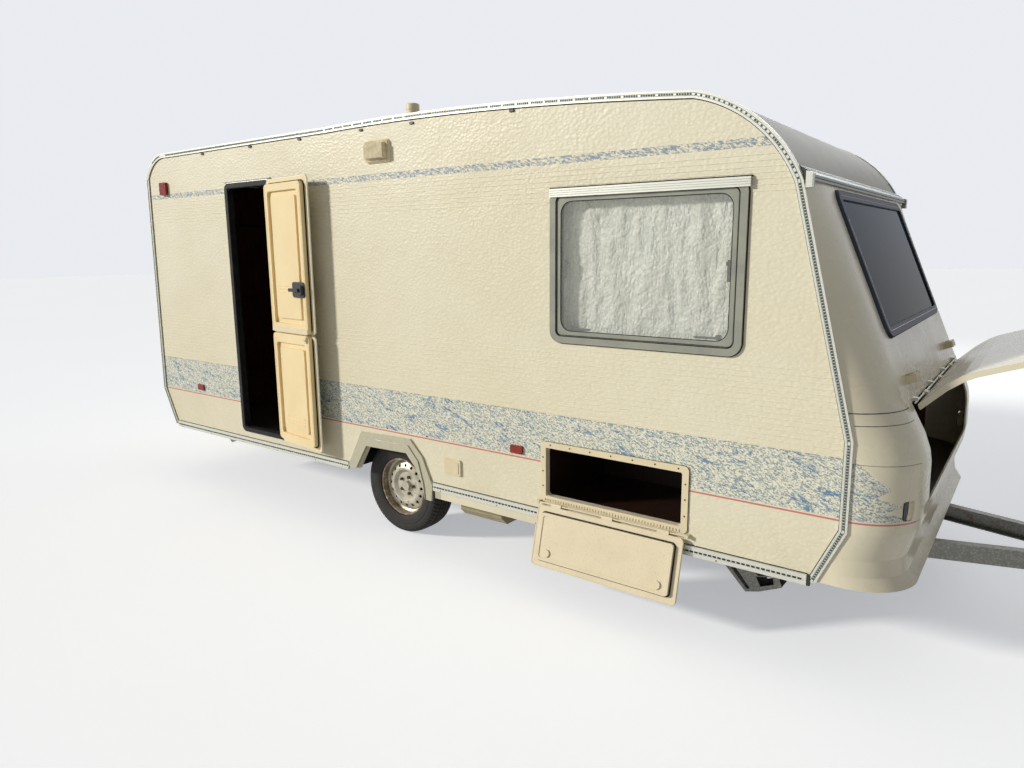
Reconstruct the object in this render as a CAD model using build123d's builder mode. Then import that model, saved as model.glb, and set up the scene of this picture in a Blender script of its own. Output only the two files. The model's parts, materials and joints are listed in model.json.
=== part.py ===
from build123d import *
import os
from math import atan2, cos, degrees, hypot, radians, sin

os.makedirs("parts", exist_ok=True)

# Frame: +X forward, +Y left, +Z up, origin at the centre of the towing ball, millimetres.
# Stations are counted forward from the rear wall and heights upward from the ground.
BALL_STATION = 6683
BALL_HEIGHT = 430
BALL_DIAMETER = 50

# Body shell
BODY_WIDTH = 2200
WALL = 30
FLOOR_TOP = 440
FLOOR_BOTTOM = 395
REAR_SEAM_DROP = 25

# Side door, a stable door in two leaves
DOOR_REAR, DOOR_FRONT = 1088, 1612
DOOR_BOTTOM, DOOR_TOP = 470, 2252
DOOR_SPLIT_HEIGHT = 1250
DOOR_OPEN = 173
LEAF_CORE = 30

# Side windows and the rear window
WINDOW_BAR = 38
WINDOW_PROUD = 14
PANE = 4
BLIND = 3

# Luggage hatch below the side window
HATCH_REAR, HATCH_FRONT = 3780, 4599
HATCH_BOTTOM, HATCH_TOP = 475, 800
HATCH_OPEN = 166
HATCH_CORE = 20
LOCKER_DEPTH = 640

# Shared by the door leaves and the hatch flap
FRAME_PROUD = 8
FRAME_BAR = 32
FLANGE = 8
FLANGE_GAP = 6
CORE_GAP = 8
HINGE_OFFSET = 12
HINGE_PIN = 4
PIN_CLEARANCE = 0.3

# Nose moulding with the front window, and the fairing with the gas locker below it
NOSE_WALL = 30
FAIRING_SKIN = 8
NOSE_CORNER = 250
NOSE_STRAIGHT = 4
SEAM_HEIGHT = 1137
LID_HALF_WIDTH = 753
LID_BOTTOM = 715
LID_THICKNESS = 24
LID_GAP = 7
LID_OPEN = 108

# Road wheels
WHEEL_STATION = 2644
WHEEL_TRACK = 1860
TYRE_DIAMETER = 604
TYRE_WIDTH = 185
RIM_DIAMETER = 362
RIM_WIDTH = 150
RIM_LIP = 16
TREAD_GROOVES = (38, 8)
RIM_VENTS = 16
WHEEL_BOLTS = 5

# Running gear
RAIL_SPACING = 1120
RAIL_DEPTH = 95
RAIL_FLANGE = 45
RAIL_STEEL = 4
DRAWBAR_START = 4700
DRAWBAR_NOSE = 6400
DRAWBAR_WIDTH = 50
DRAWBAR_STEEL = 5
AXLE_FORWARD = 160
AXLE_HEIGHT = 250
AXLE_DIAMETER = 96

# Stands
STEADY_SPREAD = 1520
STEADY_PIVOT_HEIGHT = 362
STEADY_WIDTH = 110
JOCKEY_STATION = 6270
JOCKEY_SIDE = -150
JOCKEY_WHEEL = 200
JOCKEY_TRAIL = 45
MAST_DIAMETER = 60
MAST_BORE = 49
STEM_DIAMETER = 48

# Nose, locker, lamps and rooflight
DOOR = (DOOR_REAR, DOOR_FRONT, DOOR_BOTTOM, DOOR_TOP)
HATCH = (HATCH_REAR, HATCH_FRONT, HATCH_BOTTOM, HATCH_TOP)
DOOR_CORNER = 45
HATCH_CORNER = 22
ROOFLIGHT = 400
ROOFLIGHT_STATION = 1900
SEAM_STATION = 5424
NOSE_LEAN = 380.94
FRONT_WINDOW_WIDTH = 1500
FRONT_WINDOW_FOOT = 290.4
FRONT_WINDOW_HEAD = 30.4
CHEEK_LOW, CHEEK_HIGH = 641, 1020
FAIRING = (
    (398, 5519), (450, 5484), (520, 5474), (CHEEK_LOW, 5510), (740, 5521), (900, 5517),
    (950, 5509), (CHEEK_HIGH, 5484), (SEAM_HEIGHT, SEAM_STATION),
)
LAMP_SIDE = 960
LAMP_WIDTH = 90
LAMP_HEIGHT = 85
LAMP_DEPTH = 60
LAMP_CENTRE = (5520, 740)
LOCKER_WALL = (5210, 5230)
LOCKER_BOARD = 15
LOCKER_FLOOR = (560, 575)
LID_PIN = 12
LID_KNUCKLES = (-460, 0, 460)
BOARD_END = 5380
MOUTH = (5300, 5700)
NOSE_BEHIND = 300
WINDOW_CUT = 200
OVERRUN = 60

# Rails, trims and skirts
RAIL_BAND = 26
RAIL_LIP = 6
RAIL_FOOT = 16
RAIL_PROUD = 10
RAIL_WRAP = 26
CAP_START = 15
HINGE_BRACKETS = (-690, -230, 230, 690)
TRIM = (376, 424)
TRIM_PROUD = 12
TRIM_END = 30
TRIM_GAP = 4
TRIM_GROOVE = 10
SKIRT = (3010, 3765)
SKIRT_BOTTOM = 328

# Lamps and small fittings
AWNING_LAMP = (2554, 2739, 2287, 2402)
LAMP_PROUD = 45
VENT = (2643, -800, 2648)
VENT_FOOT = 33
VENT_TOP = 41
VENT_BAND = 35
HANDLE_SIDE = 655
HANDLE_RISE = 85
HANDLE_HEIGHT = SEAM_HEIGHT + HANDLE_RISE
HANDLE_LENGTH = 112
HANDLE_DEPTH = 36
SIDE_MARKERS = ((565, 742), (3621, 728))
MARKER = (78, 44)
MARKER_PROUD = 12
SQUARE_MARKER = (246, 334, 2213, 2306)
SQUARE_MARKER_PROUD = 22
CAP = (3102, 3224, 501, 595)
CAP_PROUD = 12
REAR_LAMP_SIDE = 880
REAR_LAMP = (150, 330)
REAR_LAMP_HEIGHT = 860
REAR_LAMP_PROUD = 46
FRIDGE_VENTS = ((1560, 1950, 760, 960), (1560, 1950, 1180, 1380))
VENT_SLATS = 7

# Waste tank under the floor
TANK = (3120, 3440)
TANK_SIDE = (-1000, -560)
TANK_BOTTOM = 213

# Windows and blinds
PANE_SET = 2
BLIND_LAP = 30
TOP_RAIL = 40
TOP_RAIL_PROUD = 8
TOP_RAIL_RIBS = 4

# Door leaves, latch and hinges
LEAF_CORNER = 30
SPLIT_GAP = 6
PANEL_MARGIN = 40
PANEL_SINK = 18
PANEL_STEP = 34
PANEL_RISE = 14
PANEL_END = 46
SPLIT_BAR = 62
RIB = 7
RIB_PITCH = 22
RIB_RISE = 4
BARREL = 8
KNUCKLE = 60
BRACKET = 16
BRACKET_STEP = 26
SPLIT_STEP = 45
KNUCKLE_STEP = 112
LATCH_RISE = 290
LOWER_RIBS_RISE = 190
HATCH_DROP = 5
BRACKET_LAP = 2
FLAP_KNUCKLES = (-300, 0, 300)

# Luggage locker and furniture, as stations, sides and heights
BOARD = 12
LOCKER_STATIONS = (3775, 4604)
LOCKER_TOP = 860
CABINETS = (
    ((250, 900), (200, 1060), (440, 2100)),
    ((1400, 2290), (520, 1060), (440, 1330)),
)
SEAT_BOX = ((3120, 5150), (430, 1060), (440, 860))
CUPBOARD_DOORS = (
    ((300, 850), 200, (560, 2040)),
    ((1440, 1820), 520, (520, 1250)),
    ((1860, 2250), 520, (520, 1250)),
)

# Small chassis sizes
HANDLE_PROUD = 42
HANDLE_BAR = 14
HANDLE_FOOT = 22
LAMP_SINK = 4
RAIL_START = 300
RAIL_HOLES = (700, 1200, 1700, 2200, 3200, 3700, 4200)
CROSS_MEMBERS = (420, 1850, 3300, 4560)
MEMBER_WIDTH = 60
MEMBER_DEPTH = 70
DRAWBAR_NOSE_HALF = 70
NOSE_PLATE_TOP = 260
NOSE_PLATE_FOOT = 200
DRAWBAR_DEPTH = 85
ARM_SIDE = 802
ARM_THICKNESS = 28
STUB = 20
HUB_END = 950
BACKPLATE = 852
BACKPLATE_RADIUS = 105
DRUM_GAP = 6
DRUM_RADIUS = 110
RIM_INSET = 20
RIM_BULGE = 48
RIM_FACE = 30
VENT_CIRCLE = 132
VENT_RADIUS = 10
BOLT_CIRCLE = 112
SHAFT_HEIGHT = 452
HEAD_START = 6560
GAITER_FOLDS = 5
GAITER_PITCH = 24
CUP_DEPTH = 22
CUP_WALL = 7
CUP_CLEARANCE = 0.5
HANDBRAKE_SIDE = 53
HANDBRAKE_PIVOT = (6280, 432)
HANDBRAKE = ((6262, 432), (6298, 432), (6200, 640), (6178, 632))
HANDBRAKE_GRIP = ((6190, 632), (6130, 760))
MAST_BOTTOM = 250
MAST_TOP = 760
CROWN_HEIGHT = 215
FORK_HALF = 36
JOCKEY_PIN = 7

# Corner steadies: station of the pivot, direction of the leg, and how far it is folded up
STEADIES = ((4600, 1, 0), (720, -1, 22))
STEADY_PIN = 7
STEADY_PLATE = 5
STEADY_EYE = 24
EAR_GAP = 6
EAR_PLATE = 6
# Side plate of a steady's leg and foot, and the two holes in it, measured from the pivot
STEADY_FOOT = ((190, -235), (255, -217), (361, -168), (343, -116), (250, -136), (190, -100))
STEADY_SLOT = ((105, -118), (128, -112), (212, -212), (196, -218))
STEADY_WINDOW = ((236, -144), (318, -126), (324, -163), (262, -190))

HALF = BODY_WIDTH / 2
LINING = HALF - WALL
EAR = STEADY_WIDTH / 2 + EAR_GAP + EAR_PLATE
SIDES = (-1, 1)


def fore(station):
    """X of a station."""
    return station - BALL_STATION


def up(height):
    """Z of a height above the ground."""
    return height - BALL_HEIGHT


def at(station, height):
    """Side-view point of a station and a height."""
    return (fore(station), up(height))


def block(stations, widths, heights, mode=Mode.ADD):
    """A box between two stations, two distances from the middle plane and two heights."""
    centre = (fore(sum(stations) / 2), sum(widths) / 2, up(sum(heights) / 2))
    with Locations(centre):
        Box(
            abs(stations[1] - stations[0]),
            abs(widths[1] - widths[0]),
            abs(heights[1] - heights[0]),
            mode=mode,
        )


def side_plane(y):
    """Upright plane along the body at y, drawn in X and Z, whose normal points to the right side."""
    return Plane.XZ.offset(-y)


# Side profile of the body, as stations and heights
REAR_FOOT = (155, FLOOR_BOTTOM)
REAR_KNEE = (10, 680)
REAR_CREST = (49, 2355)
REAR_CROWN = (172, 2478)
ROOF_REAR = (346, 2513)
ROOF_MIDDLE = (2196, 2515)
ROOF_FORE = (3500, 2502)
BROW_START = (4559, 2429)
BROW_CROWN = (4836, 2289)
BROW = (5018, 2044)
CHEEK_TOP = (5273, CHEEK_HIGH)
CHEEK_BOTTOM = (5276, CHEEK_LOW)
FRONT_FOOT = (5168, FLOOR_BOTTOM)
REAR_SEAM_HEIGHT = REAR_CREST[1] - REAR_SEAM_DROP
NOSE_SLOPE = NOSE_LEAN / (BROW[1] - SEAM_HEIGHT)
SKY = ROOF_MIDDLE[1] + OVERRUN


def side_profile(y, grow=0.0):
    """Closed side view of the body at y, grown or shrunk evenly by an offset."""
    with BuildSketch(side_plane(y)) as profile:
        with BuildLine():
            Polyline(at(*REAR_FOOT), at(*REAR_KNEE), at(*REAR_CREST))
            ThreePointArc(at(*REAR_CREST), at(*REAR_CROWN), at(*ROOF_REAR))
            Line(at(*ROOF_REAR), at(*ROOF_MIDDLE))
            ThreePointArc(at(*ROOF_MIDDLE), at(*ROOF_FORE), at(*BROW_START))
            ThreePointArc(at(*BROW_START), at(*BROW_CROWN), at(*BROW))
            Polyline(at(*BROW), at(*CHEEK_TOP), at(*CHEEK_BOTTOM), at(*FRONT_FOOT))
            Line(at(*FRONT_FOOT), at(*REAR_FOOT))
        make_face()
        if grow:
            offset(amount=grow, kind=Kind.INTERSECTION)
    return profile.sketch


def rounded_frame(plane, centre, size, bar, corner):
    """A ring of four bars with round corners, drawn on a plane."""
    with BuildSketch(plane) as ring:
        with Locations(centre):
            RectangleRounded(size[0], size[1], corner)
            RectangleRounded(size[0] - 2 * bar, size[1] - 2 * bar, max(corner - bar, 4), mode=Mode.SUBTRACT)
    return ring.sketch


def rounded_panel(plane, centre, size, corner):
    """A rounded rectangle on a plane."""
    with BuildSketch(plane) as panel:
        with Locations(centre):
            RectangleRounded(size[0], size[1], corner)
    return panel.sketch


def span(low, high):
    """Middle and length between two values."""
    return (low + high) / 2, high - low


# Side openings: side of the body, rear and front stations, bottom and top heights of the outer frame
RIGHT, LEFT = -1, 1
WINDOWS = (
    (RIGHT, 3839, 4812, 1324, 2070),
    (LEFT, 3839, 4812, 1324, 2070),
    (LEFT, 2350, 3150, 1450, 2070),
    (LEFT, 1080, 1480, 1600, 2070),
)
REAR_WINDOW_WIDTH = 1150
REAR_WINDOW_BOTTOM, REAR_WINDOW_TOP = 1380, 2020
WINDOW_CORNER = 60

# Wheel arch as seen from the side: outer edge and opening, as stations and heights
ARCH_OUTER = ((2263, 405), (2400, 651), (2828, 665), (2925, 570), (3002, 405), (2992, 308), (2945, 308))
ARCH_OPENING = ((2925, 395), (2868, 505), (2800, 575), (2447, 565), (2345, 395))
ARCH_INNER = ((2925, 405), (2868, 505), (2800, 575), (2447, 565), (2345, 405))
ARCH_STEP = ((2935, 405), (2895, 540), (2815, 625), (2422, 612), (2300, 405))
ARCH_PROUD = 20
ARCH_STEP_DEPTH = 7
WHEEL_BOX_REAR, WHEEL_BOX_FRONT = 2300, 2985
WHEEL_BOX_TOP = 690
WHEEL_BOX_SIDE = 790
WHEEL_BOX_PLATE = 10


def cut_through_wall(side, frame, bar, corner):
    """The hole that a frame of four bars leaves in one side wall."""
    rear, front, bottom, top = frame
    middle, length = span(rear, front)
    centre, height = span(bottom, top)
    hole = rounded_panel(side_plane(0), at(middle, centre), (length - 2 * bar, height - 2 * bar), corner)
    extrude(hole, amount=-side * HALF, mode=Mode.SUBTRACT)


def wall_panel(side):
    """One side wall with its window, door, hatch and wheel arch openings."""
    with BuildPart() as wall:
        extrude(side_profile(side * HALF), amount=side * WALL)
        for window_side, *frame in WINDOWS:
            if window_side == side:
                cut_through_wall(side, frame, WINDOW_BAR / 2, WINDOW_CORNER)
        with BuildSketch(side_plane(0)):
            with BuildLine():
                Polyline(*[at(*point) for point in ARCH_OPENING], close=True)
            make_face()
        extrude(amount=-side * HALF, mode=Mode.SUBTRACT)
        if side == RIGHT:
            cut_through_wall(side, DOOR, FRAME_BAR, DOOR_CORNER)
            cut_through_wall(side, HATCH, FRAME_BAR, HATCH_CORNER)
    return wall


wall_right = wall_panel(RIGHT)
wall_right.part.label = "wall_right"
export_step(wall_right.part, "parts/wall_right.step")

wall_left = wall_panel(LEFT)
wall_left.part.label = "wall_left"
export_step(wall_left.part, "parts/wall_left.step")

# Floor between the side walls, with the two wheel wells cut out
with BuildPart() as floor_panel:
    block((REAR_FOOT[0] + 3, FRONT_FOOT[0]), (-LINING, LINING), (FLOOR_BOTTOM, FLOOR_TOP))
    for side in SIDES:
        block(
            (WHEEL_BOX_REAR, WHEEL_BOX_FRONT),
            (side * WHEEL_BOX_SIDE, side * LINING),
            (FLOOR_BOTTOM, FLOOR_TOP),
            mode=Mode.SUBTRACT,
        )
floor_panel.part.label = "floor_panel"
export_step(floor_panel.part, "parts/floor_panel.step")


def shell_band(low_station, high_station, low_height, high_height):
    """The part of the body's skin between the side walls that lies in a side-view window."""
    with BuildSketch(side_plane(LINING)) as band:
        add(side_profile(LINING))
        add(side_profile(LINING, -WALL), mode=Mode.SUBTRACT)
        middle, length = span(low_station, high_station)
        centre, height = span(low_height, high_height)
        with Locations(at(middle, centre)):
            Rectangle(length, height, mode=Mode.INTERSECT)
    return band.sketch


# Roof skin from the rear seam over to the brow, with its rooflight and vent holes
with BuildPart() as roof_panel:
    extrude(shell_band(-OVERRUN, ROOF_MIDDLE[0], REAR_SEAM_HEIGHT, SKY), amount=2 * LINING)
    extrude(shell_band(ROOF_MIDDLE[0], BROW[0] + OVERRUN, BROW[1], SKY), amount=2 * LINING)
    block(
        (ROOFLIGHT_STATION - ROOFLIGHT / 2, ROOFLIGHT_STATION + ROOFLIGHT / 2),
        (-ROOFLIGHT / 2, ROOFLIGHT / 2),
        (ROOF_REAR[1] - 2 * WALL, SKY),
        mode=Mode.SUBTRACT,
    )
roof_panel.part.label = "roof_panel"
export_step(roof_panel.part, "parts/roof_panel.step")

# Rear wall, from the floor up to the roof's rear seam
with BuildPart() as rear_panel:
    extrude(shell_band(-OVERRUN, ROOF_REAR[0], FLOOR_TOP, REAR_SEAM_HEIGHT), amount=2 * LINING)
    centre, height = span(REAR_WINDOW_BOTTOM, REAR_WINDOW_TOP)
    with BuildSketch(Plane.YZ.offset(fore(-WINDOW_CUT))):
        with Locations((0, up(centre))):
            RectangleRounded(REAR_WINDOW_WIDTH - WINDOW_BAR, height - WINDOW_BAR, WINDOW_CORNER)
    extrude(amount=2 * WINDOW_CUT, mode=Mode.SUBTRACT)
rear_panel.part.label = "rear_panel"
export_step(rear_panel.part, "parts/rear_panel.step")


def nose_section(height, edge_station, front_station, inset, behind):
    """Plan section of the nose: a flat front, round corners and short straight sides at the walls."""
    rear = fore(edge_station) - behind
    front = fore(front_station) - inset
    side = HALF - inset
    flat = HALF - NOSE_CORNER
    turn = max(fore(edge_station) + NOSE_STRAIGHT, fore(front_station) - NOSE_CORNER)
    with BuildSketch(Plane.XY.offset(up(height))) as section:
        with BuildLine():
            Line((front, -flat), (front, flat))
            TangentArc((front, flat), (turn, side), tangent=(0, 1))
            TangentArc((front, -flat), (turn, -side), tangent=(0, -1))
            Polyline((turn, side), (rear, side), (rear, -side), (turn, -side))
        make_face()
    return section.sketch


def nose_solid(sections, inset, behind):
    """The nose as a ruled loft through its plan sections."""
    with BuildPart() as nose:
        loft([nose_section(*section, inset, behind) for section in sections], ruled=True)
    return nose.part


def edge_station(height):
    """Station of the side wall's front edge at a height."""
    points = (FRONT_FOOT, CHEEK_BOTTOM, CHEEK_TOP, BROW)
    for (low_station, low), (high_station, high) in zip(points, points[1:]):
        if height <= high or (high_station, high) == BROW:
            share = (height - low) / (high - low)
            return low_station + share * (high_station - low_station)


def window_station(height):
    """Station of the flat front window plane at a height."""
    return SEAM_STATION - (height - SEAM_HEIGHT) * NOSE_SLOPE


def upper_sections(margin):
    """The two sections of the window moulding, moved outward past its ends by a margin."""
    heights = (SEAM_HEIGHT - margin, BROW[1] + margin)
    return [(height, edge_station(height), window_station(height)) for height in heights]


NOSE_DEPTH = NOSE_WALL / hypot(1, NOSE_SLOPE)
NOSE_FACE = (BROW[1] - SEAM_HEIGHT) * hypot(1, NOSE_SLOPE)
FRONT_WINDOW = (FRONT_WINDOW_WIDTH, NOSE_FACE - FRONT_WINDOW_FOOT - FRONT_WINDOW_HEAD)
FRONT_WINDOW_RAISE = (FRONT_WINDOW_FOOT - FRONT_WINDOW_HEAD) / 2


def front_plane(depth=0.0):
    """Plane of the front window: X to the left of the body, Y up the slope, normal forward."""
    middle = (SEAM_HEIGHT + BROW[1]) / 2
    slope = hypot(1, NOSE_SLOPE)
    normal = (1 / slope, 0, NOSE_SLOPE / slope)
    origin = (fore(window_station(middle)) + depth * normal[0], 0, up(middle) + depth * normal[2])
    return Plane(origin=origin, x_dir=(0, 1, 0), z_dir=normal)


# Window moulding above the gas locker, one hollow shell with the front window cut
with BuildPart() as front_panel:
    add(nose_solid(upper_sections(0), 0, 0))
    add(nose_solid(upper_sections(OVERRUN), NOSE_WALL, NOSE_BEHIND), mode=Mode.SUBTRACT)
    with BuildSketch(front_plane(-WINDOW_CUT)):
        with Locations((0, FRONT_WINDOW_RAISE)):
            RectangleRounded(FRONT_WINDOW[0] - WINDOW_BAR, FRONT_WINDOW[1] - WINDOW_BAR, WINDOW_CORNER)
    extrude(amount=2 * WINDOW_CUT, mode=Mode.SUBTRACT)
front_panel.part.label = "front_panel"
export_step(front_panel.part, "parts/front_panel.step")


def fairing_sections(margin=0):
    """Sections of the lower nose; with a margin, both end sections are repeated past the ends."""
    rows = [(height, edge_station(height), front) for height, front in FAIRING]
    if margin:
        low, high = rows[0], rows[-1]
        rows = [(low[0] - margin, *low[1:]), *rows, (high[0] + margin, *high[1:])]
    return rows


# Lower nose: a moulded skin that flares out to a lip, with the gas locker's mouth
with BuildPart() as front_fairing:
    add(nose_solid(fairing_sections(), 0, 0))
    add(nose_solid(fairing_sections(OVERRUN), FAIRING_SKIN, NOSE_BEHIND), mode=Mode.SUBTRACT)
    block(MOUTH, (-LID_HALF_WIDTH, LID_HALF_WIDTH), (LID_BOTTOM, SEAM_HEIGHT), mode=Mode.SUBTRACT)
    for side in SIDES:
        with BuildSketch(side_plane(side * LAMP_SIDE)):
            with Locations(at(*LAMP_CENTRE)):
                RectangleRounded(2 * LAMP_DEPTH, LAMP_HEIGHT, 12)
        extrude(amount=-side * LAMP_WIDTH, mode=Mode.SUBTRACT)
front_fairing.part.label = "front_fairing"
export_step(front_fairing.part, "parts/front_fairing.step")

# Gas locker: bulkhead, floor and roof boards trimmed to the inside of the nose
with BuildPart() as gas_locker:
    block(LOCKER_WALL, (-LINING, LINING), (FLOOR_TOP, SEAM_HEIGHT))
    block((LOCKER_WALL[1], MOUTH[1]), (-HALF, HALF), LOCKER_FLOOR)
    block((LOCKER_WALL[1], BOARD_END), (-HALF, HALF), (SEAM_HEIGHT - LOCKER_BOARD, SEAM_HEIGHT))
    add(nose_solid(fairing_sections(), FAIRING_SKIN, NOSE_BEHIND), mode=Mode.INTERSECT)
    for side in SIDES:
        block(
            (LOCKER_WALL[0] - 1, CHEEK_BOTTOM[0]),
            (side * LINING, side * HALF),
            (FLOOR_BOTTOM, SEAM_HEIGHT + 1),
            mode=Mode.SUBTRACT,
        )
gas_locker.part.label = "gas_locker"
export_step(gas_locker.part, "parts/gas_locker.step")


def lid_plane(y):
    """Side-view plane swung about the lid's hinge, so that closed coordinates give the open lid."""
    turn = radians(LID_OPEN)
    origin = (fore(SEAM_STATION + LID_PIN), y, up(SEAM_HEIGHT))
    return Plane(origin=origin, x_dir=(cos(turn), 0, sin(turn)), z_dir=(0, -1, 0))


# Gas locker lid, drawn closed about its hinge and swung up
LID_SIDE = LID_HALF_WIDTH - LID_GAP
lid_front = [(front - SEAM_STATION - LID_PIN, height - SEAM_HEIGHT) for height, front in FAIRING[::-1]]
lid_front = [point for point in lid_front if point[1] > LID_BOTTOM - SEAM_HEIGHT]
lid_foot = (lid_front[-1][0], LID_BOTTOM - SEAM_HEIGHT + LID_GAP)
with BuildPart() as locker_lid:
    with BuildSketch(lid_plane(LID_SIDE)):
        with BuildLine():
            outer = Polyline(*lid_front, lid_foot)
            offset(outer, amount=LID_THICKNESS, side=Side.RIGHT, closed=True)
        make_face()
        with Locations((0, 0)):
            Rectangle(120, 2 * LID_GAP, mode=Mode.SUBTRACT)
    extrude(amount=2 * LID_SIDE)
    for y in LID_KNUCKLES:
        with BuildSketch(lid_plane(y + KNUCKLE / 2)):
            Circle(BARREL)
            with Locations((-2, -LID_GAP)):
                Rectangle(BARREL, 2 * BARREL)
        extrude(amount=KNUCKLE)
    with BuildSketch(lid_plane(LID_SIDE + 1)):
        Circle(HINGE_PIN + PIN_CLEARANCE)
    extrude(amount=2 * LID_SIDE + 2, mode=Mode.SUBTRACT)
locker_lid.part.label = "locker_lid"
export_step(locker_lid.part, "parts/locker_lid.step")

# Lid hinge: a rod along the seam, held to the window moulding by short brackets
with BuildPart() as lid_hinge:
    rod = Plane(origin=(fore(SEAM_STATION + LID_PIN), 0, up(SEAM_HEIGHT)), x_dir=(1, 0, 0), z_dir=(0, 1, 0))
    with BuildSketch(rod):
        Circle(HINGE_PIN)
    extrude(amount=LID_SIDE, both=True)
    for y in HINGE_BRACKETS:
        block(
            (window_station(SEAM_HEIGHT + 14), SEAM_STATION + LID_PIN + 2),
            (y - 12, y + 12),
            (SEAM_HEIGHT, SEAM_HEIGHT + 14),
        )
    add(nose_solid(upper_sections(0), 0, 0), mode=Mode.SUBTRACT)
lid_hinge.part.label = "lid_hinge"
export_step(lid_hinge.part, "parts/lid_hinge.step")

# Keder rails round the edge of each side wall: a flat band with a lip over the corner
with BuildPart() as awning_rails:
    for side in SIDES:
        face = side * HALF
        with BuildSketch(side_plane(face)):
            add(side_profile(face, RAIL_LIP))
            add(side_profile(face, -RAIL_BAND), mode=Mode.SUBTRACT)
            middle, length = span(-OVERRUN, CHEEK_BOTTOM[0] + OVERRUN)
            with Locations(at(middle, FLOOR_BOTTOM - OVERRUN / 2)):
                Rectangle(length, OVERRUN, mode=Mode.SUBTRACT)
            middle, length = span(REAR_FOOT[0] + RAIL_FOOT, FRONT_FOOT[0] - RAIL_FOOT)
            with Locations(at(middle, FLOOR_BOTTOM)):
                Rectangle(length, 2 * RAIL_BAND + 2, mode=Mode.SUBTRACT)
        extrude(amount=-side * RAIL_PROUD)
        with BuildSketch(side_plane(face)):
            add(side_profile(face, RAIL_LIP))
            add(side_profile(face), mode=Mode.SUBTRACT)
            middle, length = span(-OVERRUN, CHEEK_BOTTOM[0] + OVERRUN)
            with Locations(at(middle, FLOOR_BOTTOM - OVERRUN / 2)):
                Rectangle(length, OVERRUN, mode=Mode.SUBTRACT)
            middle, length = span(BROW[0] - RAIL_LIP, CHEEK_BOTTOM[0] + OVERRUN)
            centre, height = span(FLOOR_BOTTOM - OVERRUN, SKY)
            with Locations(at(middle, centre)):
                Rectangle(length, height, mode=Mode.SUBTRACT)
        extrude(amount=side * RAIL_WRAP)
awning_rails.part.label = "awning_rails"
export_step(awning_rails.part, "parts/awning_rails.step")


def shell_solid():
    """The body's whole side profile as one block between the side walls."""
    with BuildPart() as shell:
        extrude(side_profile(LINING), amount=2 * LINING)
    return shell.part


# Brow rail: a gutter across the roof's front edge, with end caps outside the side walls
with BuildPart() as brow_rail:
    with BuildSketch(side_plane(LINING)):
        with BuildLine():
            Polyline(
                at(BROW[0], BROW[1]),
                at(BROW[0] + 34, BROW[1]),
                at(BROW[0] + 34, BROW[1] + 22),
                at(BROW[0] + 20, BROW[1] + 32),
                at(BROW[0] - 22, BROW[1] + 60),
                at(BROW[0] - 28, BROW[1] + 58),
                close=True,
            )
        make_face()
    extrude(amount=2 * LINING)
    add(shell_solid(), mode=Mode.SUBTRACT)
    for side in SIDES:
        with BuildSketch(side_plane(side * (HALF + RAIL_PROUD))):
            with BuildLine():
                Polyline(
                    at(BROW[0] + CAP_START, BROW[1] - 30),
                    at(BROW[0] + 40, BROW[1] - 30),
                    at(BROW[0] + 40, BROW[1] + 24),
                    at(BROW[0] + CAP_START, BROW[1] + 34),
                    close=True,
                )
            make_face()
        extrude(amount=side * (HALF + RAIL_PROUD - LINING))
    add(nose_solid(upper_sections(0), 0, 0), mode=Mode.SUBTRACT)
brow_rail.part.label = "brow_rail"
export_step(brow_rail.part, "parts/brow_rail.step")

# Sill trims along the foot of each side wall, with one groove
with BuildPart() as sill_trims:
    for side in SIDES:
        for stations in (
            (REAR_FOOT[0] + TRIM_END, ARCH_OUTER[0][0] - TRIM_GAP),
            (ARCH_OUTER[4][0] + TRIM_GAP, FRONT_FOOT[0] - TRIM_END),
        ):
            block(stations, (side * HALF, side * (HALF + TRIM_PROUD)), TRIM)
            middle = sum(TRIM) / 2
            block(
                stations,
                (side * (HALF + TRIM_PROUD - 4), side * (HALF + TRIM_PROUD)),
                (middle - TRIM_GROOVE / 2, middle + TRIM_GROOVE / 2),
                mode=Mode.SUBTRACT,
            )
sill_trims.part.label = "sill_trims"
export_step(sill_trims.part, "parts/sill_trims.step")

# Skirts below the side walls between the wheel arch and the hatch
with BuildPart() as side_skirts:
    for side in SIDES:
        with BuildSketch(side_plane(side * HALF)):
            with BuildLine():
                Polyline(
                    at(SKIRT[0], FLOOR_BOTTOM),
                    at(SKIRT[0] + 4, SKIRT_BOTTOM),
                    at(SKIRT[1] - 30, SKIRT_BOTTOM),
                    at(SKIRT[1], FLOOR_BOTTOM),
                    close=True,
                )
            make_face()
        extrude(amount=side * (WALL - 8))
side_skirts.part.label = "side_skirts"
export_step(side_skirts.part, "parts/side_skirts.step")

# Wheel arch mouldings: a stepped, flat-topped ring with a longer front leg
with BuildPart() as wheel_arches:
    for side in SIDES:
        with BuildSketch(side_plane(side * HALF)):
            with BuildLine():
                Polyline(*[at(*point) for point in ARCH_OUTER + ARCH_INNER], close=True)
            make_face()
        extrude(amount=-side * ARCH_PROUD)
        with BuildSketch(side_plane(side * (HALF + ARCH_PROUD))):
            with BuildLine():
                Polyline(*[at(*point) for point in ARCH_OUTER + ARCH_STEP], close=True)
            make_face()
        extrude(amount=side * ARCH_STEP_DEPTH, mode=Mode.SUBTRACT)
wheel_arches.part.label = "wheel_arches"
export_step(wheel_arches.part, "parts/wheel_arches.step")

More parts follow.
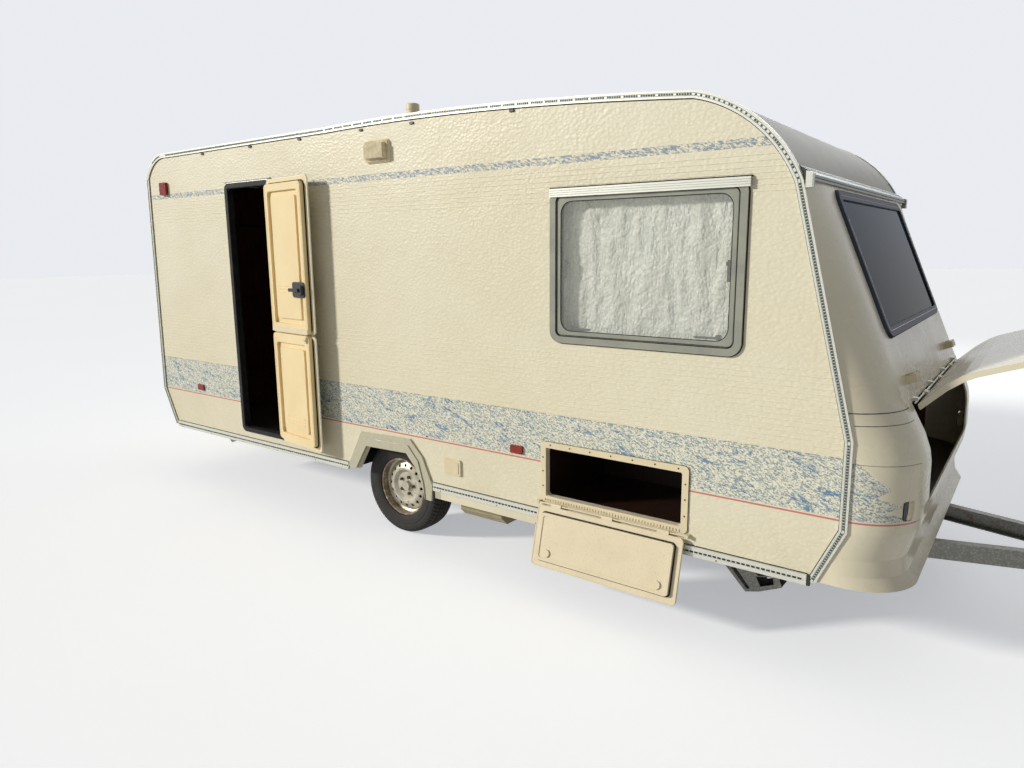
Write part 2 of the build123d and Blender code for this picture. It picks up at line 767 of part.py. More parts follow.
# Wheel boxes that close the wheel wells off from the cabin
with BuildPart() as wheel_boxes:
    for side in SIDES:
        block(
            (WHEEL_BOX_REAR, WHEEL_BOX_FRONT),
            (side * WHEEL_BOX_SIDE, side * LINING),
            (FLOOR_BOTTOM, WHEEL_BOX_TOP),
        )
        block(
            (WHEEL_BOX_REAR + WHEEL_BOX_PLATE, WHEEL_BOX_FRONT - WHEEL_BOX_PLATE),
            (side * (WHEEL_BOX_SIDE + WHEEL_BOX_PLATE), side * HALF),
            (FLOOR_BOTTOM - 50, WHEEL_BOX_TOP - WHEEL_BOX_PLATE),
            mode=Mode.SUBTRACT,
        )
wheel_boxes.part.label = "wheel_boxes"
export_step(wheel_boxes.part, "parts/wheel_boxes.step")


def rear_plane(proud=0.0):
    """Plane of the rear wall seen from behind: X to the right side, Y up, normal rearward."""
    run = REAR_CREST[0] - REAR_KNEE[0]
    rise = REAR_CREST[1] - REAR_KNEE[1]
    length = hypot(run, rise)
    normal = (-rise / length, 0, run / length)
    origin = (fore(REAR_KNEE[0]) + proud * normal[0], 0, up(REAR_KNEE[1]) + proud * normal[2])
    return Plane(origin=origin, x_dir=(0, -1, 0), z_dir=normal)


REAR_WINDOW = (
    (0, (REAR_WINDOW_BOTTOM + REAR_WINDOW_TOP) / 2 - REAR_KNEE[1]),
    (REAR_WINDOW_WIDTH, REAR_WINDOW_TOP - REAR_WINDOW_BOTTOM),
)


def window_views(proud, nose_proud):
    """Plane, centre, size and outward sign of each side window, the rear window and the front window."""
    for side, rear, front, bottom, top in WINDOWS:
        middle, length = span(rear, front)
        centre, height = span(bottom, top)
        yield side_plane(side * (HALF + proud)), at(middle, centre), (length, height), -side
    yield rear_plane(proud), *REAR_WINDOW, 1
    yield front_plane(nose_proud), (0, FRONT_WINDOW_RAISE), FRONT_WINDOW, 1


# Window frames on the side and rear walls, and the gasket of the front window
with BuildPart() as window_frames:
    for plane, centre, size, outward in window_views(0, 0):
        frame = rounded_frame(plane, centre, size, WINDOW_BAR, WINDOW_CORNER)
        extrude(frame, amount=outward * WINDOW_PROUD)
window_frames.part.label = "window_frames"
export_step(window_frames.part, "parts/window_frames.step")

# Acrylic panes inside the frames
with BuildPart() as window_panes:
    for plane, centre, size, outward in window_views(PANE_SET, PANE_SET):
        pane = (size[0] - 2 * WINDOW_BAR, size[1] - 2 * WINDOW_BAR)
        extrude(rounded_panel(plane, centre, pane, WINDOW_CORNER - WINDOW_BAR), amount=outward * PANE)
window_panes.part.label = "window_panes"
export_step(window_panes.part, "parts/window_panes.step")

# Thermal blinds that close the windows from inside
with BuildPart() as window_blinds:
    for plane, centre, size, outward in window_views(-WALL, -NOSE_DEPTH):
        blind = (size[0] + BLIND_LAP, size[1] + BLIND_LAP)
        extrude(rounded_panel(plane, centre, blind, WINDOW_CORNER), amount=-outward * BLIND)
window_blinds.part.label = "window_blinds"
export_step(window_blinds.part, "parts/window_blinds.step")

# Ribbed aluminium rails that carry the top-hung side windows
with BuildPart() as window_rails:
    for side, rear, front, bottom, top in WINDOWS:
        face = HALF + WINDOW_PROUD
        block((rear, front + 9), (side * face, side * (face + TOP_RAIL_PROUD)), (top - TOP_RAIL, top))
        for rib in range(TOP_RAIL_RIBS):
            low = top - TOP_RAIL + (rib + 0.75) * TOP_RAIL / TOP_RAIL_RIBS
            block(
                (rear, front + 9),
                (side * (face + TOP_RAIL_PROUD - 3), side * (face + TOP_RAIL_PROUD)),
                (low - 3, low + 3),
                mode=Mode.SUBTRACT,
            )
window_rails.part.label = "window_rails"
export_step(window_rails.part, "parts/window_rails.step")

def opening_frame(frame, corner):
    """The proud ring of a door or hatch opening on the right side wall."""
    rear, front, bottom, top = frame
    middle, length = span(rear, front)
    centre, height = span(bottom, top)
    ring = rounded_frame(side_plane(-HALF), at(middle, centre), (length, height), FRAME_BAR, corner)
    extrude(ring, amount=FRAME_PROUD)


HINGE_OUT = FRAME_PROUD + FLANGE_GAP + FLANGE
DOOR_HINGE = (DOOR_FRONT - HINGE_OFFSET, -(HALF + HINGE_OUT))

# Door frame with its hinge rod, which stands on brackets off the front bar, and a step tread
with BuildPart() as door_frame:
    opening_frame(DOOR, DOOR_CORNER)
    with BuildSketch(Plane.XY.offset(up(DOOR_BOTTOM + 4))):
        with Locations((fore(DOOR_HINGE[0]), DOOR_HINGE[1])):
            Circle(HINGE_PIN)
    extrude(amount=DOOR_TOP - DOOR_BOTTOM - 8)
    for height in (
        DOOR_BOTTOM + BRACKET_STEP, DOOR_SPLIT_HEIGHT - SPLIT_STEP,
        DOOR_SPLIT_HEIGHT + SPLIT_STEP, DOOR_TOP - BRACKET_STEP,
    ):
        block(
            (DOOR_HINGE[0] - 6, DOOR_HINGE[0] + 6),
            (-HALF - FRAME_PROUD, DOOR_HINGE[1] - 6),
            (height - BRACKET / 2, height + BRACKET / 2),
        )
door_frame.part.label = "door_frame"
export_step(door_frame.part, "parts/door_frame.step")


def leaf_plane(depth=0.0):
    """Plane of a door leaf as it stands open: X away from the hinge, Y up, normal to its inner side."""
    turn = radians(DOOR_OPEN)
    normal = (-sin(turn), cos(turn), 0)
    origin = (fore(DOOR_HINGE[0]) + depth * normal[0], DOOR_HINGE[1] + depth * normal[1], up(0))
    return Plane(origin=origin, x_dir=(-cos(turn), -sin(turn), 0), z_dir=normal)


LEAF_REACH = DOOR_HINGE[0] - DOOR_REAR - 4
CORE_START = FRAME_BAR + CORE_GAP - HINGE_OFFSET
CORE_END = DOOR_HINGE[0] - DOOR_REAR - FRAME_BAR - CORE_GAP


def door_leaf(low, high, core_low, core_high, panel_low, panel_high, ribs):
    """One leaf: an outer flange, a thick core inside the opening, a stepped panel and hinge barrels."""
    pin = (fore(DOOR_HINGE[0]), DOOR_HINGE[1])
    knuckles = (low + KNUCKLE_STEP, (low + high) / 2, high - KNUCKLE_STEP)
    with BuildPart() as leaf:
        middle, length = span(HINGE_OFFSET, LEAF_REACH)
        centre, height = span(low, high)
        extrude(rounded_panel(leaf_plane(), (middle, centre), (length, height), LEAF_CORNER), amount=FLANGE)
        middle, length = span(CORE_START, CORE_END)
        centre, height = span(core_low, core_high)
        core = rounded_panel(leaf_plane(FLANGE), (middle, centre), (length, height), LEAF_CORNER)
        extrude(core, amount=LEAF_CORE)
        centre, height = span(panel_low, panel_high)
        sunk = (length - 2 * PANEL_MARGIN, height)
        face = leaf_plane(FLANGE + LEAF_CORE)
        extrude(rounded_panel(face, (middle, centre), sunk, 20), amount=-PANEL_SINK, mode=Mode.SUBTRACT)
        raised = (sunk[0] - 2 * PANEL_STEP, sunk[1] - 2 * PANEL_STEP)
        floor = leaf_plane(FLANGE + LEAF_CORE - PANEL_SINK)
        extrude(rounded_panel(floor, (middle, centre), raised, 14), amount=PANEL_RISE)
        with BuildSketch(leaf_plane(FLANGE + LEAF_CORE - PANEL_SINK + PANEL_RISE)):
            with Locations(*[(middle, ribs + step * RIB_PITCH) for step in (-1, 0, 1)]):
                Rectangle(raised[0] - 2 * PANEL_STEP, RIB)
        extrude(amount=RIB_RISE, taper=20)
        for knuckle in knuckles:
            with BuildSketch(Plane.XY.offset(up(knuckle - KNUCKLE / 2))):
                with Locations(pin):
                    Circle(BARREL)
            extrude(amount=KNUCKLE)
            with BuildSketch(leaf_plane()):
                with Locations((HINGE_OFFSET / 2 + 2, knuckle)):
                    Rectangle(HINGE_OFFSET, KNUCKLE)
            extrude(amount=FLANGE)
        with BuildSketch(Plane.XY.offset(up(low - 20))):
            with Locations(pin):
                Circle(HINGE_PIN + PIN_CLEARANCE)
        extrude(amount=high - low + 40, mode=Mode.SUBTRACT)
    return leaf


FLANGE_TOP = DOOR_TOP - 6
FLANGE_BOTTOM = DOOR_BOTTOM + 6
CORE_TOP = DOOR_TOP - FRAME_BAR - CORE_GAP
CORE_BOTTOM = DOOR_BOTTOM + FRAME_BAR + CORE_GAP
SPLIT_TOP = DOOR_SPLIT_HEIGHT + SPLIT_GAP / 2
SPLIT_BOTTOM = DOOR_SPLIT_HEIGHT - SPLIT_GAP / 2

LATCH_HEIGHT = DOOR_SPLIT_HEIGHT + LATCH_RISE

door_upper = door_leaf(
    SPLIT_TOP, FLANGE_TOP, SPLIT_TOP, CORE_TOP, SPLIT_TOP + SPLIT_BAR, CORE_TOP - PANEL_END, LATCH_HEIGHT
)
door_upper.part.label = "door_upper"
export_step(door_upper.part, "parts/door_upper.step")

door_lower = door_leaf(
    FLANGE_BOTTOM, SPLIT_BOTTOM, CORE_BOTTOM, SPLIT_BOTTOM, CORE_BOTTOM + PANEL_END,
    SPLIT_BOTTOM - SPLIT_BAR, DOOR_BOTTOM + LOWER_RIBS_RISE,
)
door_lower.part.label = "door_lower"
export_step(door_lower.part, "parts/door_lower.step")

# Door latch: a housing with a lever on the inside of the upper leaf, and a flat outer handle
with BuildPart() as door_latch:
    inner_face = leaf_plane(FLANGE + LEAF_CORE)
    with BuildSketch(inner_face):
        with Locations((CORE_END - 50, LATCH_HEIGHT)):
            RectangleRounded(70, 60, 10)
    extrude(amount=26)
    with BuildSketch(leaf_plane(FLANGE + LEAF_CORE + 26)):
        with Locations((CORE_END - 90, LATCH_HEIGHT)):
            RectangleRounded(110, 22, 8)
    extrude(amount=14)
    with BuildSketch(leaf_plane()):
        with Locations((CORE_END - 50, LATCH_HEIGHT)):
            RectangleRounded(110, 70, 12)
    extrude(amount=-16)
door_latch.part.label = "door_latch"
export_step(door_latch.part, "parts/door_latch.step")

HATCH_HINGE = (-(HALF + HINGE_OUT), HATCH_BOTTOM - HATCH_DROP)
HATCH_BRACKETS = (
    (HATCH_REAR + BRACKET_LAP - BRACKET, HATCH_REAR + BRACKET_LAP),
    (HATCH_FRONT - BRACKET_LAP, HATCH_FRONT - BRACKET_LAP + BRACKET),
)

# Hatch frame with a hinge rod along its foot
with BuildPart() as hatch_frame:
    opening_frame(HATCH, HATCH_CORNER)
    rod = Plane(
        origin=(fore(HATCH_BRACKETS[0][0]), HATCH_HINGE[0], up(HATCH_HINGE[1])),
        x_dir=(0, 1, 0),
        z_dir=(1, 0, 0),
    )
    with BuildSketch(rod):
        Circle(HINGE_PIN)
    extrude(amount=HATCH_BRACKETS[1][1] - HATCH_BRACKETS[0][0])
    for stations in HATCH_BRACKETS:
        block(
            stations,
            (-HALF, HATCH_HINGE[0] - 6),
            (HATCH_HINGE[1] - 6, HATCH_BOTTOM + 4),
        )
hatch_frame.part.label = "hatch_frame"
export_step(hatch_frame.part, "parts/hatch_frame.step")


def flap_plane(depth=0.0):
    """Plane of the hatch flap as it hangs open: X rearward, Y from the hinge, normal to its inner side."""
    turn = radians(HATCH_OPEN)
    normal = (0, cos(turn), sin(turn))
    middle = fore((HATCH_REAR + HATCH_FRONT) / 2)
    origin = (middle, HATCH_HINGE[0] + depth * normal[1], up(HATCH_HINGE[1]) + depth * normal[2])
    return Plane(origin=origin, x_dir=(-1, 0, 0), z_dir=normal)


HATCH_LENGTH = HATCH_FRONT - HATCH_REAR
FLAP_TOP = HATCH_TOP - HATCH_HINGE[1] - 4
FLAP_FOOT = 12
FLAP_CORE_TOP = HATCH_TOP - HATCH_HINGE[1] - FRAME_BAR - CORE_GAP
FLAP_CORE_FOOT = HATCH_BOTTOM + FRAME_BAR + CORE_GAP - HATCH_HINGE[1]

# Hatch flap: an outer flange, a core inside the opening, hinge barrels and two latches
with BuildPart() as hatch_flap:
    centre, height = span(FLAP_FOOT, FLAP_TOP)
    extrude(rounded_panel(flap_plane(), (0, centre), (HATCH_LENGTH - 8, height), 20), amount=FLANGE)
    core_centre, core_height = span(FLAP_CORE_FOOT, FLAP_CORE_TOP)
    core_length = HATCH_LENGTH - 2 * (FRAME_BAR + CORE_GAP)
    core = rounded_panel(flap_plane(FLANGE), (0, core_centre), (core_length, core_height), 16)
    extrude(core, amount=HATCH_CORE)
    sunk = (core_length - 30, core_height - 30)
    inner_face = rounded_panel(flap_plane(FLANGE + HATCH_CORE), (0, core_centre), sunk, 12)
    extrude(inner_face, amount=-4, mode=Mode.SUBTRACT)
    for x in (-(core_length / 2 - 60), core_length / 2 - 60):
        with BuildSketch(flap_plane(FLANGE + HATCH_CORE - 4)):
            with Locations((x, FLAP_CORE_TOP - 42)):
                Circle(20)
        extrude(amount=8)
    for x in FLAP_KNUCKLES:
        barrel = Plane(origin=flap_plane().from_local_coords((x - KNUCKLE / 2, 0, 0)), z_dir=(-1, 0, 0))
        with BuildSketch(barrel):
            Circle(BARREL)
        extrude(amount=KNUCKLE)
        with BuildSketch(flap_plane()):
            with Locations((x, FLAP_FOOT / 2 + 2)):
                Rectangle(KNUCKLE, FLAP_FOOT)
        extrude(amount=FLANGE)
    bore = Plane(origin=flap_plane().from_local_coords((HATCH_LENGTH, 0, 0)), z_dir=(1, 0, 0))
    with BuildSketch(bore):
        Circle(HINGE_PIN + PIN_CLEARANCE)
    extrude(amount=2 * HATCH_LENGTH, mode=Mode.SUBTRACT)
hatch_flap.part.label = "hatch_flap"
export_step(hatch_flap.part, "parts/hatch_flap.step")

# Luggage locker behind the hatch, also the seat box of the front dinette
with BuildPart() as hatch_locker:
    block(LOCKER_STATIONS, (-LINING, -LINING + LOCKER_DEPTH), (FLOOR_TOP, LOCKER_TOP))
    block(
        (LOCKER_STATIONS[0] + BOARD, LOCKER_STATIONS[1] - BOARD),
        (-HALF, -LINING + LOCKER_DEPTH - BOARD),
        (FLOOR_TOP + BOARD, LOCKER_TOP - BOARD),
        mode=Mode.SUBTRACT,
    )
hatch_locker.part.label = "hatch_locker"
export_step(hatch_locker.part, "parts/hatch_locker.step")

# Cabin furniture: the washroom and kitchen cabinets, made of boards, and the left seat box
with BuildPart() as furniture:
    for stations, widths, heights in CABINETS:
        block(stations, widths, heights)
        inner = [(low + BOARD, high - BOARD) for low, high in (stations, widths, heights)]
        block(*inner, mode=Mode.SUBTRACT)
    block(*SEAT_BOX)
    for stations, side, heights in CUPBOARD_DOORS:
        block(stations, (side, side + 6), heights, mode=Mode.SUBTRACT)
furniture.part.label = "furniture"
export_step(furniture.part, "parts/furniture.step")

# Awning lamp on the right side wall
with BuildPart() as awning_lamp:
    rear, front, bottom, top = AWNING_LAMP
    middle, length = span(rear, front)
    centre, height = span(bottom, top)
    base = rounded_panel(side_plane(-HALF), at(middle, centre), (length, height), 14)
    extrude(base, amount=LAMP_PROUD * 0.4)
    inner = (length - 24, height - 24)
    lens = rounded_panel(side_plane(-HALF - LAMP_PROUD * 0.4), at(middle, centre), inner, 12)
    extrude(lens, amount=LAMP_PROUD * 0.6, taper=12)
awning_lamp.part.label = "awning_lamp"
export_step(awning_lamp.part, "parts/awning_lamp.step")


def roof_height(station):
    """Height of the roof's outer skin at a station on its flat stretch."""
    share = (station - ROOF_REAR[0]) / (ROOF_MIDDLE[0] - ROOF_REAR[0])
    return ROOF_REAR[1] + share * (ROOF_MIDDLE[1] - ROOF_REAR[1])


# Roof vent: a tapered flue with a band round its cap
with BuildPart() as roof_vent:
    station, side, top = VENT
    foot = ROOF_MIDDLE[1] - 20
    rise = top - foot
    with BuildSketch(Plane(origin=(fore(station), side, up(foot)), x_dir=(1, 0, 0), z_dir=(0, -1, 0))):
        with BuildLine():
            band = rise - VENT_BAND
            Polyline(
                (0, 0), (VENT_FOOT, 0), (VENT_TOP - 3, band - 4), (VENT_TOP - 3, band), (VENT_TOP, band),
                (VENT_TOP, rise - 6), (VENT_TOP - 6, rise), (0, rise), (0, 0),
            )
        make_face()
    revolve(axis=Axis((fore(station), side, 0), (0, 0, 1)))
    add(shell_solid(), mode=Mode.SUBTRACT)
roof_vent.part.label = "roof_vent"
export_step(roof_vent.part, "parts/roof_vent.step")

# Rooflight: a framed dome over the roof's hatch hole
with BuildPart() as rooflight:
    ends = (ROOFLIGHT_STATION - ROOFLIGHT / 2, ROOFLIGHT_STATION + ROOFLIGHT / 2)
    crown = roof_height(ROOFLIGHT_STATION)
    block((ends[0] - 30, ends[1] + 30), (-ROOFLIGHT / 2 - 30, ROOFLIGHT / 2 + 30), (crown + 1, crown + 26))
    with BuildSketch(Plane.XY.offset(up(crown + 26))):
        with Locations((fore(ROOFLIGHT_STATION), 0)):
            RectangleRounded(ROOFLIGHT + 20, ROOFLIGHT + 20, 40)
    extrude(amount=40, taper=30)
    block(ends, (-ROOFLIGHT / 2, ROOFLIGHT / 2), (crown, crown + 22), mode=Mode.SUBTRACT)
rooflight.part.label = "rooflight"
export_step(rooflight.part, "parts/rooflight.step")

# Grab handles on the nose below the front window
with BuildPart() as grab_handles:
    slope = hypot(1, NOSE_SLOPE)
    along = (HANDLE_HEIGHT - (SEAM_HEIGHT + BROW[1]) / 2) * slope
    for side in SIDES:
        centre = (side * HANDLE_SIDE, along)
        feet = [(centre[0] + end * (HANDLE_LENGTH - HANDLE_FOOT) / 2, along) for end in SIDES]
        with BuildSketch(front_plane(HANDLE_PROUD - HANDLE_BAR)):
            with Locations(centre):
                RectangleRounded(HANDLE_LENGTH, HANDLE_DEPTH, 6)
        extrude(amount=HANDLE_BAR)
        with BuildSketch(front_plane()):
            with Locations(*feet):
                RectangleRounded(HANDLE_FOOT, HANDLE_DEPTH, 6)
        extrude(amount=HANDLE_PROUD - HANDLE_BAR)
grab_handles.part.label = "grab_handles"
export_step(grab_handles.part, "parts/grab_handles.step")

# Amber side markers, and the square clearance lamps near the rear top corners
with BuildPart() as side_markers:
    for side in SIDES:
        for station, height in SIDE_MARKERS:
            marker = rounded_panel(side_plane(side * HALF), at(station, height), MARKER, 6)
            extrude(marker, amount=-side * MARKER_PROUD)
        rear, front, bottom, top = SQUARE_MARKER
        middle, length = span(rear, front)
        centre, height = span(bottom, top)
        lamp = rounded_panel(side_plane(side * HALF), at(middle, centre), (length, height), 8)
        extrude(lamp, amount=-side * SQUARE_MARKER_PROUD)
side_markers.part.label = "side_markers"
export_step(side_markers.part, "parts/side_markers.step")

# Service cap of the fresh-water inlet on the right side wall
with BuildPart() as service_cap:
    rear, front, bottom, top = CAP
    middle, length = span(rear, front)
    centre, height = span(bottom, top)
    extrude(rounded_panel(side_plane(-HALF), at(middle, centre), (length, height), 10), amount=CAP_PROUD)
    lid = rounded_panel(side_plane(-HALF - CAP_PROUD), at(middle, centre), (length - 26, height - 26), 8)
    extrude(lid, amount=3)
service_cap.part.label = "service_cap"
export_step(service_cap.part, "parts/service_cap.step")

# Fridge vents on the left side wall
with BuildPart() as fridge_vents:
    for rear, front, bottom, top in FRIDGE_VENTS:
        middle, length = span(rear, front)
        centre, height = span(bottom, top)
        grille = rounded_panel(side_plane(HALF), at(middle, centre), (length, height), 12)
        extrude(grille, amount=-CAP_PROUD)
        pitch = (height - 30) / VENT_SLATS
        for slat in range(VENT_SLATS):
            low = bottom + 15 + (slat + 0.5) * pitch
            block(
                (rear + 20, front - 20),
                (HALF + 4, HALF + CAP_PROUD + 1),
                (low - pitch * 0.28, low + pitch * 0.28),
                mode=Mode.SUBTRACT,
            )
fridge_vents.part.label = "fridge_vents"
export_step(fridge_vents.part, "parts/fridge_vents.step")

# Rear lamp clusters
with BuildPart() as rear_lamps:
    for side in SIDES:
        centre = (side * REAR_LAMP_SIDE, REAR_LAMP_HEIGHT - REAR_KNEE[1])
        extrude(rounded_panel(rear_plane(), centre, REAR_LAMP, 16), amount=14)
        inner = (REAR_LAMP[0] - 14, REAR_LAMP[1] - 14)
        extrude(rounded_panel(rear_plane(14), centre, inner, 14), amount=REAR_LAMP_PROUD - 14, taper=10)
rear_lamps.part.label = "rear_lamps"
export_step(rear_lamps.part, "parts/rear_lamps.step")

# Front position lamps, sunk in the corners of the fairing
with BuildPart() as front_lamps:
    for side in SIDES:
        with BuildSketch(side_plane(side * (LAMP_SIDE + 2))):
            with Locations(at(*LAMP_CENTRE)):
                RectangleRounded(2 * LAMP_DEPTH - 6, LAMP_HEIGHT - 1, 12)
        extrude(amount=-side * (LAMP_WIDTH - 4))
    add(nose_solid(fairing_sections(), LAMP_SINK, NOSE_BEHIND), mode=Mode.INTERSECT)
front_lamps.part.label = "front_lamps"
export_step(front_lamps.part, "parts/front_lamps.step")

# Chassis: two channels under the floor with round lightening holes, and folded cross members
with BuildPart() as chassis_rails:
    for side in SIDES:
        web = side * RAIL_SPACING / 2
        heights = (FLOOR_BOTTOM - RAIL_DEPTH, FLOOR_BOTTOM)
        block((RAIL_START, DRAWBAR_START), (web, web - side * RAIL_FLANGE), heights)
        block(
            (RAIL_START - 10, DRAWBAR_START + 10),
            (web - side * RAIL_STEEL, web - side * (RAIL_FLANGE + 1)),
            (heights[0] + RAIL_STEEL, heights[1] - RAIL_STEEL),
            mode=Mode.SUBTRACT,
        )
        with BuildSketch(side_plane(web)):
            with Locations(*[at(station, FLOOR_BOTTOM - RAIL_DEPTH / 2) for station in RAIL_HOLES]):
                Circle(RAIL_DEPTH * 0.28)
        extrude(amount=RAIL_FLANGE, both=True, mode=Mode.SUBTRACT)
    inside = RAIL_SPACING / 2 - RAIL_STEEL
    for station in CROSS_MEMBERS:
        ends = (station, station + MEMBER_WIDTH)
        block(ends, (-inside, inside), (FLOOR_BOTTOM - MEMBER_DEPTH, FLOOR_BOTTOM - RAIL_STEEL))
        block(
            (ends[0] + RAIL_STEEL, ends[1] - RAIL_STEEL),
            (-inside, inside),
            (FLOOR_BOTTOM - MEMBER_DEPTH - 1, FLOOR_BOTTOM - 2 * RAIL_STEEL),
            mode=Mode.SUBTRACT,
        )
chassis_rails.part.label = "chassis_rails"
export_step(chassis_rails.part, "parts/chassis_rails.step")


def drawbar_side(station):
    """Distance of a drawbar member's outer edge from the middle plane at a station."""
    share = (station - DRAWBAR_START) / (DRAWBAR_NOSE - DRAWBAR_START)
    return RAIL_SPACING / 2 + share * (DRAWBAR_NOSE_HALF - RAIL_SPACING / 2)


# Drawbar: two channels that run together to the nose, joined by a plate under the tip
with BuildPart() as drawbar:
    for side in SIDES:
        for inset, extra, heights, mode in (
            (0, 0, (FLOOR_BOTTOM - DRAWBAR_DEPTH, FLOOR_BOTTOM), Mode.ADD),
            (DRAWBAR_STEEL, 30, (FLOOR_BOTTOM - DRAWBAR_DEPTH + 5, FLOOR_BOTTOM - 5), Mode.SUBTRACT),
        ):
            start, nose = DRAWBAR_START - extra / 30, DRAWBAR_NOSE + extra / 30
            outer_start = drawbar_side(start) - inset
            outer_nose = drawbar_side(nose) - inset
            with BuildSketch(Plane.XY.offset(up(heights[0]))):
                with BuildLine():
                    Polyline(
                        (fore(start), side * outer_start),
                        (fore(nose), side * outer_nose),
                        (fore(nose), side * (outer_nose - DRAWBAR_WIDTH - extra)),
                        (fore(start), side * (outer_start - DRAWBAR_WIDTH - extra)),
                        close=True,
                    )
                make_face()
            extrude(amount=heights[1] - heights[0], mode=mode)
    block(
        (DRAWBAR_NOSE - NOSE_PLATE_TOP, DRAWBAR_NOSE),
        (-DRAWBAR_NOSE_HALF, DRAWBAR_NOSE_HALF),
        (FLOOR_BOTTOM - 5, FLOOR_BOTTOM),
    )
    block(
        (DRAWBAR_NOSE - NOSE_PLATE_FOOT, DRAWBAR_NOSE),
        (-DRAWBAR_NOSE_HALF, DRAWBAR_NOSE_HALF),
        (FLOOR_BOTTOM - DRAWBAR_DEPTH, FLOOR_BOTTOM - DRAWBAR_DEPTH + 5),
    )
drawbar.part.label = "drawbar"
export_step(drawbar.part, "parts/drawbar.step")

AXLE_STATION = WHEEL_STATION + AXLE_FORWARD
WHEEL_HEIGHT = TYRE_DIAMETER / 2

# Axle: a six-sided tube with a saddle at each rail, trailing arms, stub axles and backplates
with BuildPart() as axle:
    with BuildSketch(side_plane(-ARM_SIDE)):
        with Locations(at(AXLE_STATION, AXLE_HEIGHT)):
            RegularPolygon(AXLE_DIAMETER / 2, 6, major_radius=True, rotation=30)
    extrude(amount=-2 * ARM_SIDE)
    for side in SIDES:
        middle = side * (RAIL_SPACING / 2 - RAIL_FLANGE / 2)
        block(
            (AXLE_STATION - 70, AXLE_STATION + 70),
            (middle - 30, middle + 30),
            (AXLE_HEIGHT, FLOOR_BOTTOM - RAIL_DEPTH),
        )
    for side in SIDES:
        with BuildSketch(side_plane(side * ARM_SIDE)):
            with Locations(at(AXLE_STATION, AXLE_HEIGHT)):
                Circle(52)
            with Locations(at(WHEEL_STATION, WHEEL_HEIGHT)):
                Circle(38)
            make_hull()
        extrude(amount=-side * ARM_THICKNESS)
        for radius, start, end in ((STUB, ARM_SIDE, HUB_END), (BACKPLATE_RADIUS, BACKPLATE, BACKPLATE + 8)):
            with BuildSketch(side_plane(side * start)):
                with Locations(at(WHEEL_STATION, WHEEL_HEIGHT)):
                    Circle(radius)
            extrude(amount=-side * (end - start))
axle.part.label = "axle"
export_step(axle.part, "parts/axle.step")


def wheel_plane(side):
    """Plane through a wheel's centre: X outward along the axle, Y up."""
    origin = (fore(WHEEL_STATION), side * WHEEL_TRACK / 2, up(WHEEL_HEIGHT))
    return Plane(origin=origin, x_dir=(0, side, 0), z_dir=(side, 0, 0))


def wheel_axis(side):
    """Axis of a wheel's axle."""
    return Axis((fore(WHEEL_STATION), side * WHEEL_TRACK / 2, up(WHEEL_HEIGHT)), (0, 1, 0))


def make_tyre(side):
    """A tyre: a ring with bulged sides, round shoulders and a tread with three grooves."""
    half = TYRE_WIDTH / 2
    top = TYRE_DIAMETER / 2
    seat = RIM_DIAMETER / 2
    lip = seat + RIM_LIP
    bead = RIM_WIDTH / 2 - 8
    wall = top - lip
    shoulder = (
        (half - 6, lip + 0.18 * wall), (half, lip + 0.45 * wall), (half - 3, lip + 0.7 * wall),
        (half - 10, top - 15), (half - 20, top - 6),
    )
    tread = []
    for groove in (TREAD_GROOVES[0], 0, -TREAD_GROOVES[0]):
        for x, sink in ((6, 0), (4, TREAD_GROOVES[1]), (-4, TREAD_GROOVES[1]), (-6, 0)):
            tread.append((groove + x, top - sink - (2 if groove else 0)))
    with BuildPart() as tyre:
        with BuildSketch(wheel_plane(side)):
            with BuildLine():
                Polyline((-bead, lip), (-bead, seat), (bead, seat), (bead, lip))
                far_shoulder = [(-x, y) for x, y in shoulder[::-1]]
                Polyline((bead, lip), *shoulder, *tread, *far_shoulder, (-bead, lip))
            make_face()
        revolve(axis=wheel_axis(side))
    return tyre


def make_rim(side):
    """A steel rim: flanged barrel with a drop centre, and a dished disc with vents and bolts."""
    edge = RIM_WIDTH / 2
    seat = RIM_DIAMETER / 2
    disc = (
        (RIM_INSET, seat - 20), (RIM_INSET + 12, seat - 24), (RIM_BULGE, 118), (RIM_BULGE, 104),
        (RIM_FACE, 84), (RIM_FACE, 30), (RIM_FACE - 6, 30), (RIM_FACE - 6, 82), (RIM_BULGE - 6, 102),
        (RIM_BULGE - 6, 118), (RIM_INSET + 8, seat - 32), (RIM_INSET - 2, seat - 32),
    )
    barrel = (
        (-edge, seat + RIM_LIP), (8 - edge, seat + RIM_LIP), (8 - edge, seat), (-30, seat),
        (-22, seat - 18), (RIM_INSET, seat - 18), (RIM_INSET + 8, seat), (edge - 8, seat),
        (edge - 8, seat + RIM_LIP), (edge, seat + RIM_LIP), (edge, seat - 4), (RIM_INSET + 10, seat - 4),
        (RIM_INSET + 2, seat - 22), (-24, seat - 22), (-32, seat - 4), (-edge, seat - 4),
    )
    face = wheel_plane(side).origin + Vector(0, side * RIM_INSET, 0)
    cut_plane = Plane(origin=face, x_dir=(1, 0, 0), z_dir=(0, side, 0))
    with BuildPart() as rim:
        for outline in (barrel, disc):
            with BuildSketch(wheel_plane(side)):
                with BuildLine():
                    Polyline(*outline, close=True)
                make_face()
            revolve(axis=wheel_axis(side))
        with BuildSketch(cut_plane):
            with PolarLocations(VENT_CIRCLE, RIM_VENTS):
                Circle(VENT_RADIUS)
        extrude(amount=60, mode=Mode.SUBTRACT)
        bolt_plane = cut_plane.offset(RIM_FACE - RIM_INSET)
        with BuildSketch(bolt_plane):
            with PolarLocations(BOLT_CIRCLE / 2, WHEEL_BOLTS):
                RegularPolygon(11, 6)
        extrude(amount=12)
        with BuildSketch(bolt_plane.offset(-6)):
            Circle(32)
        extrude(amount=26, taper=6)
    return rim


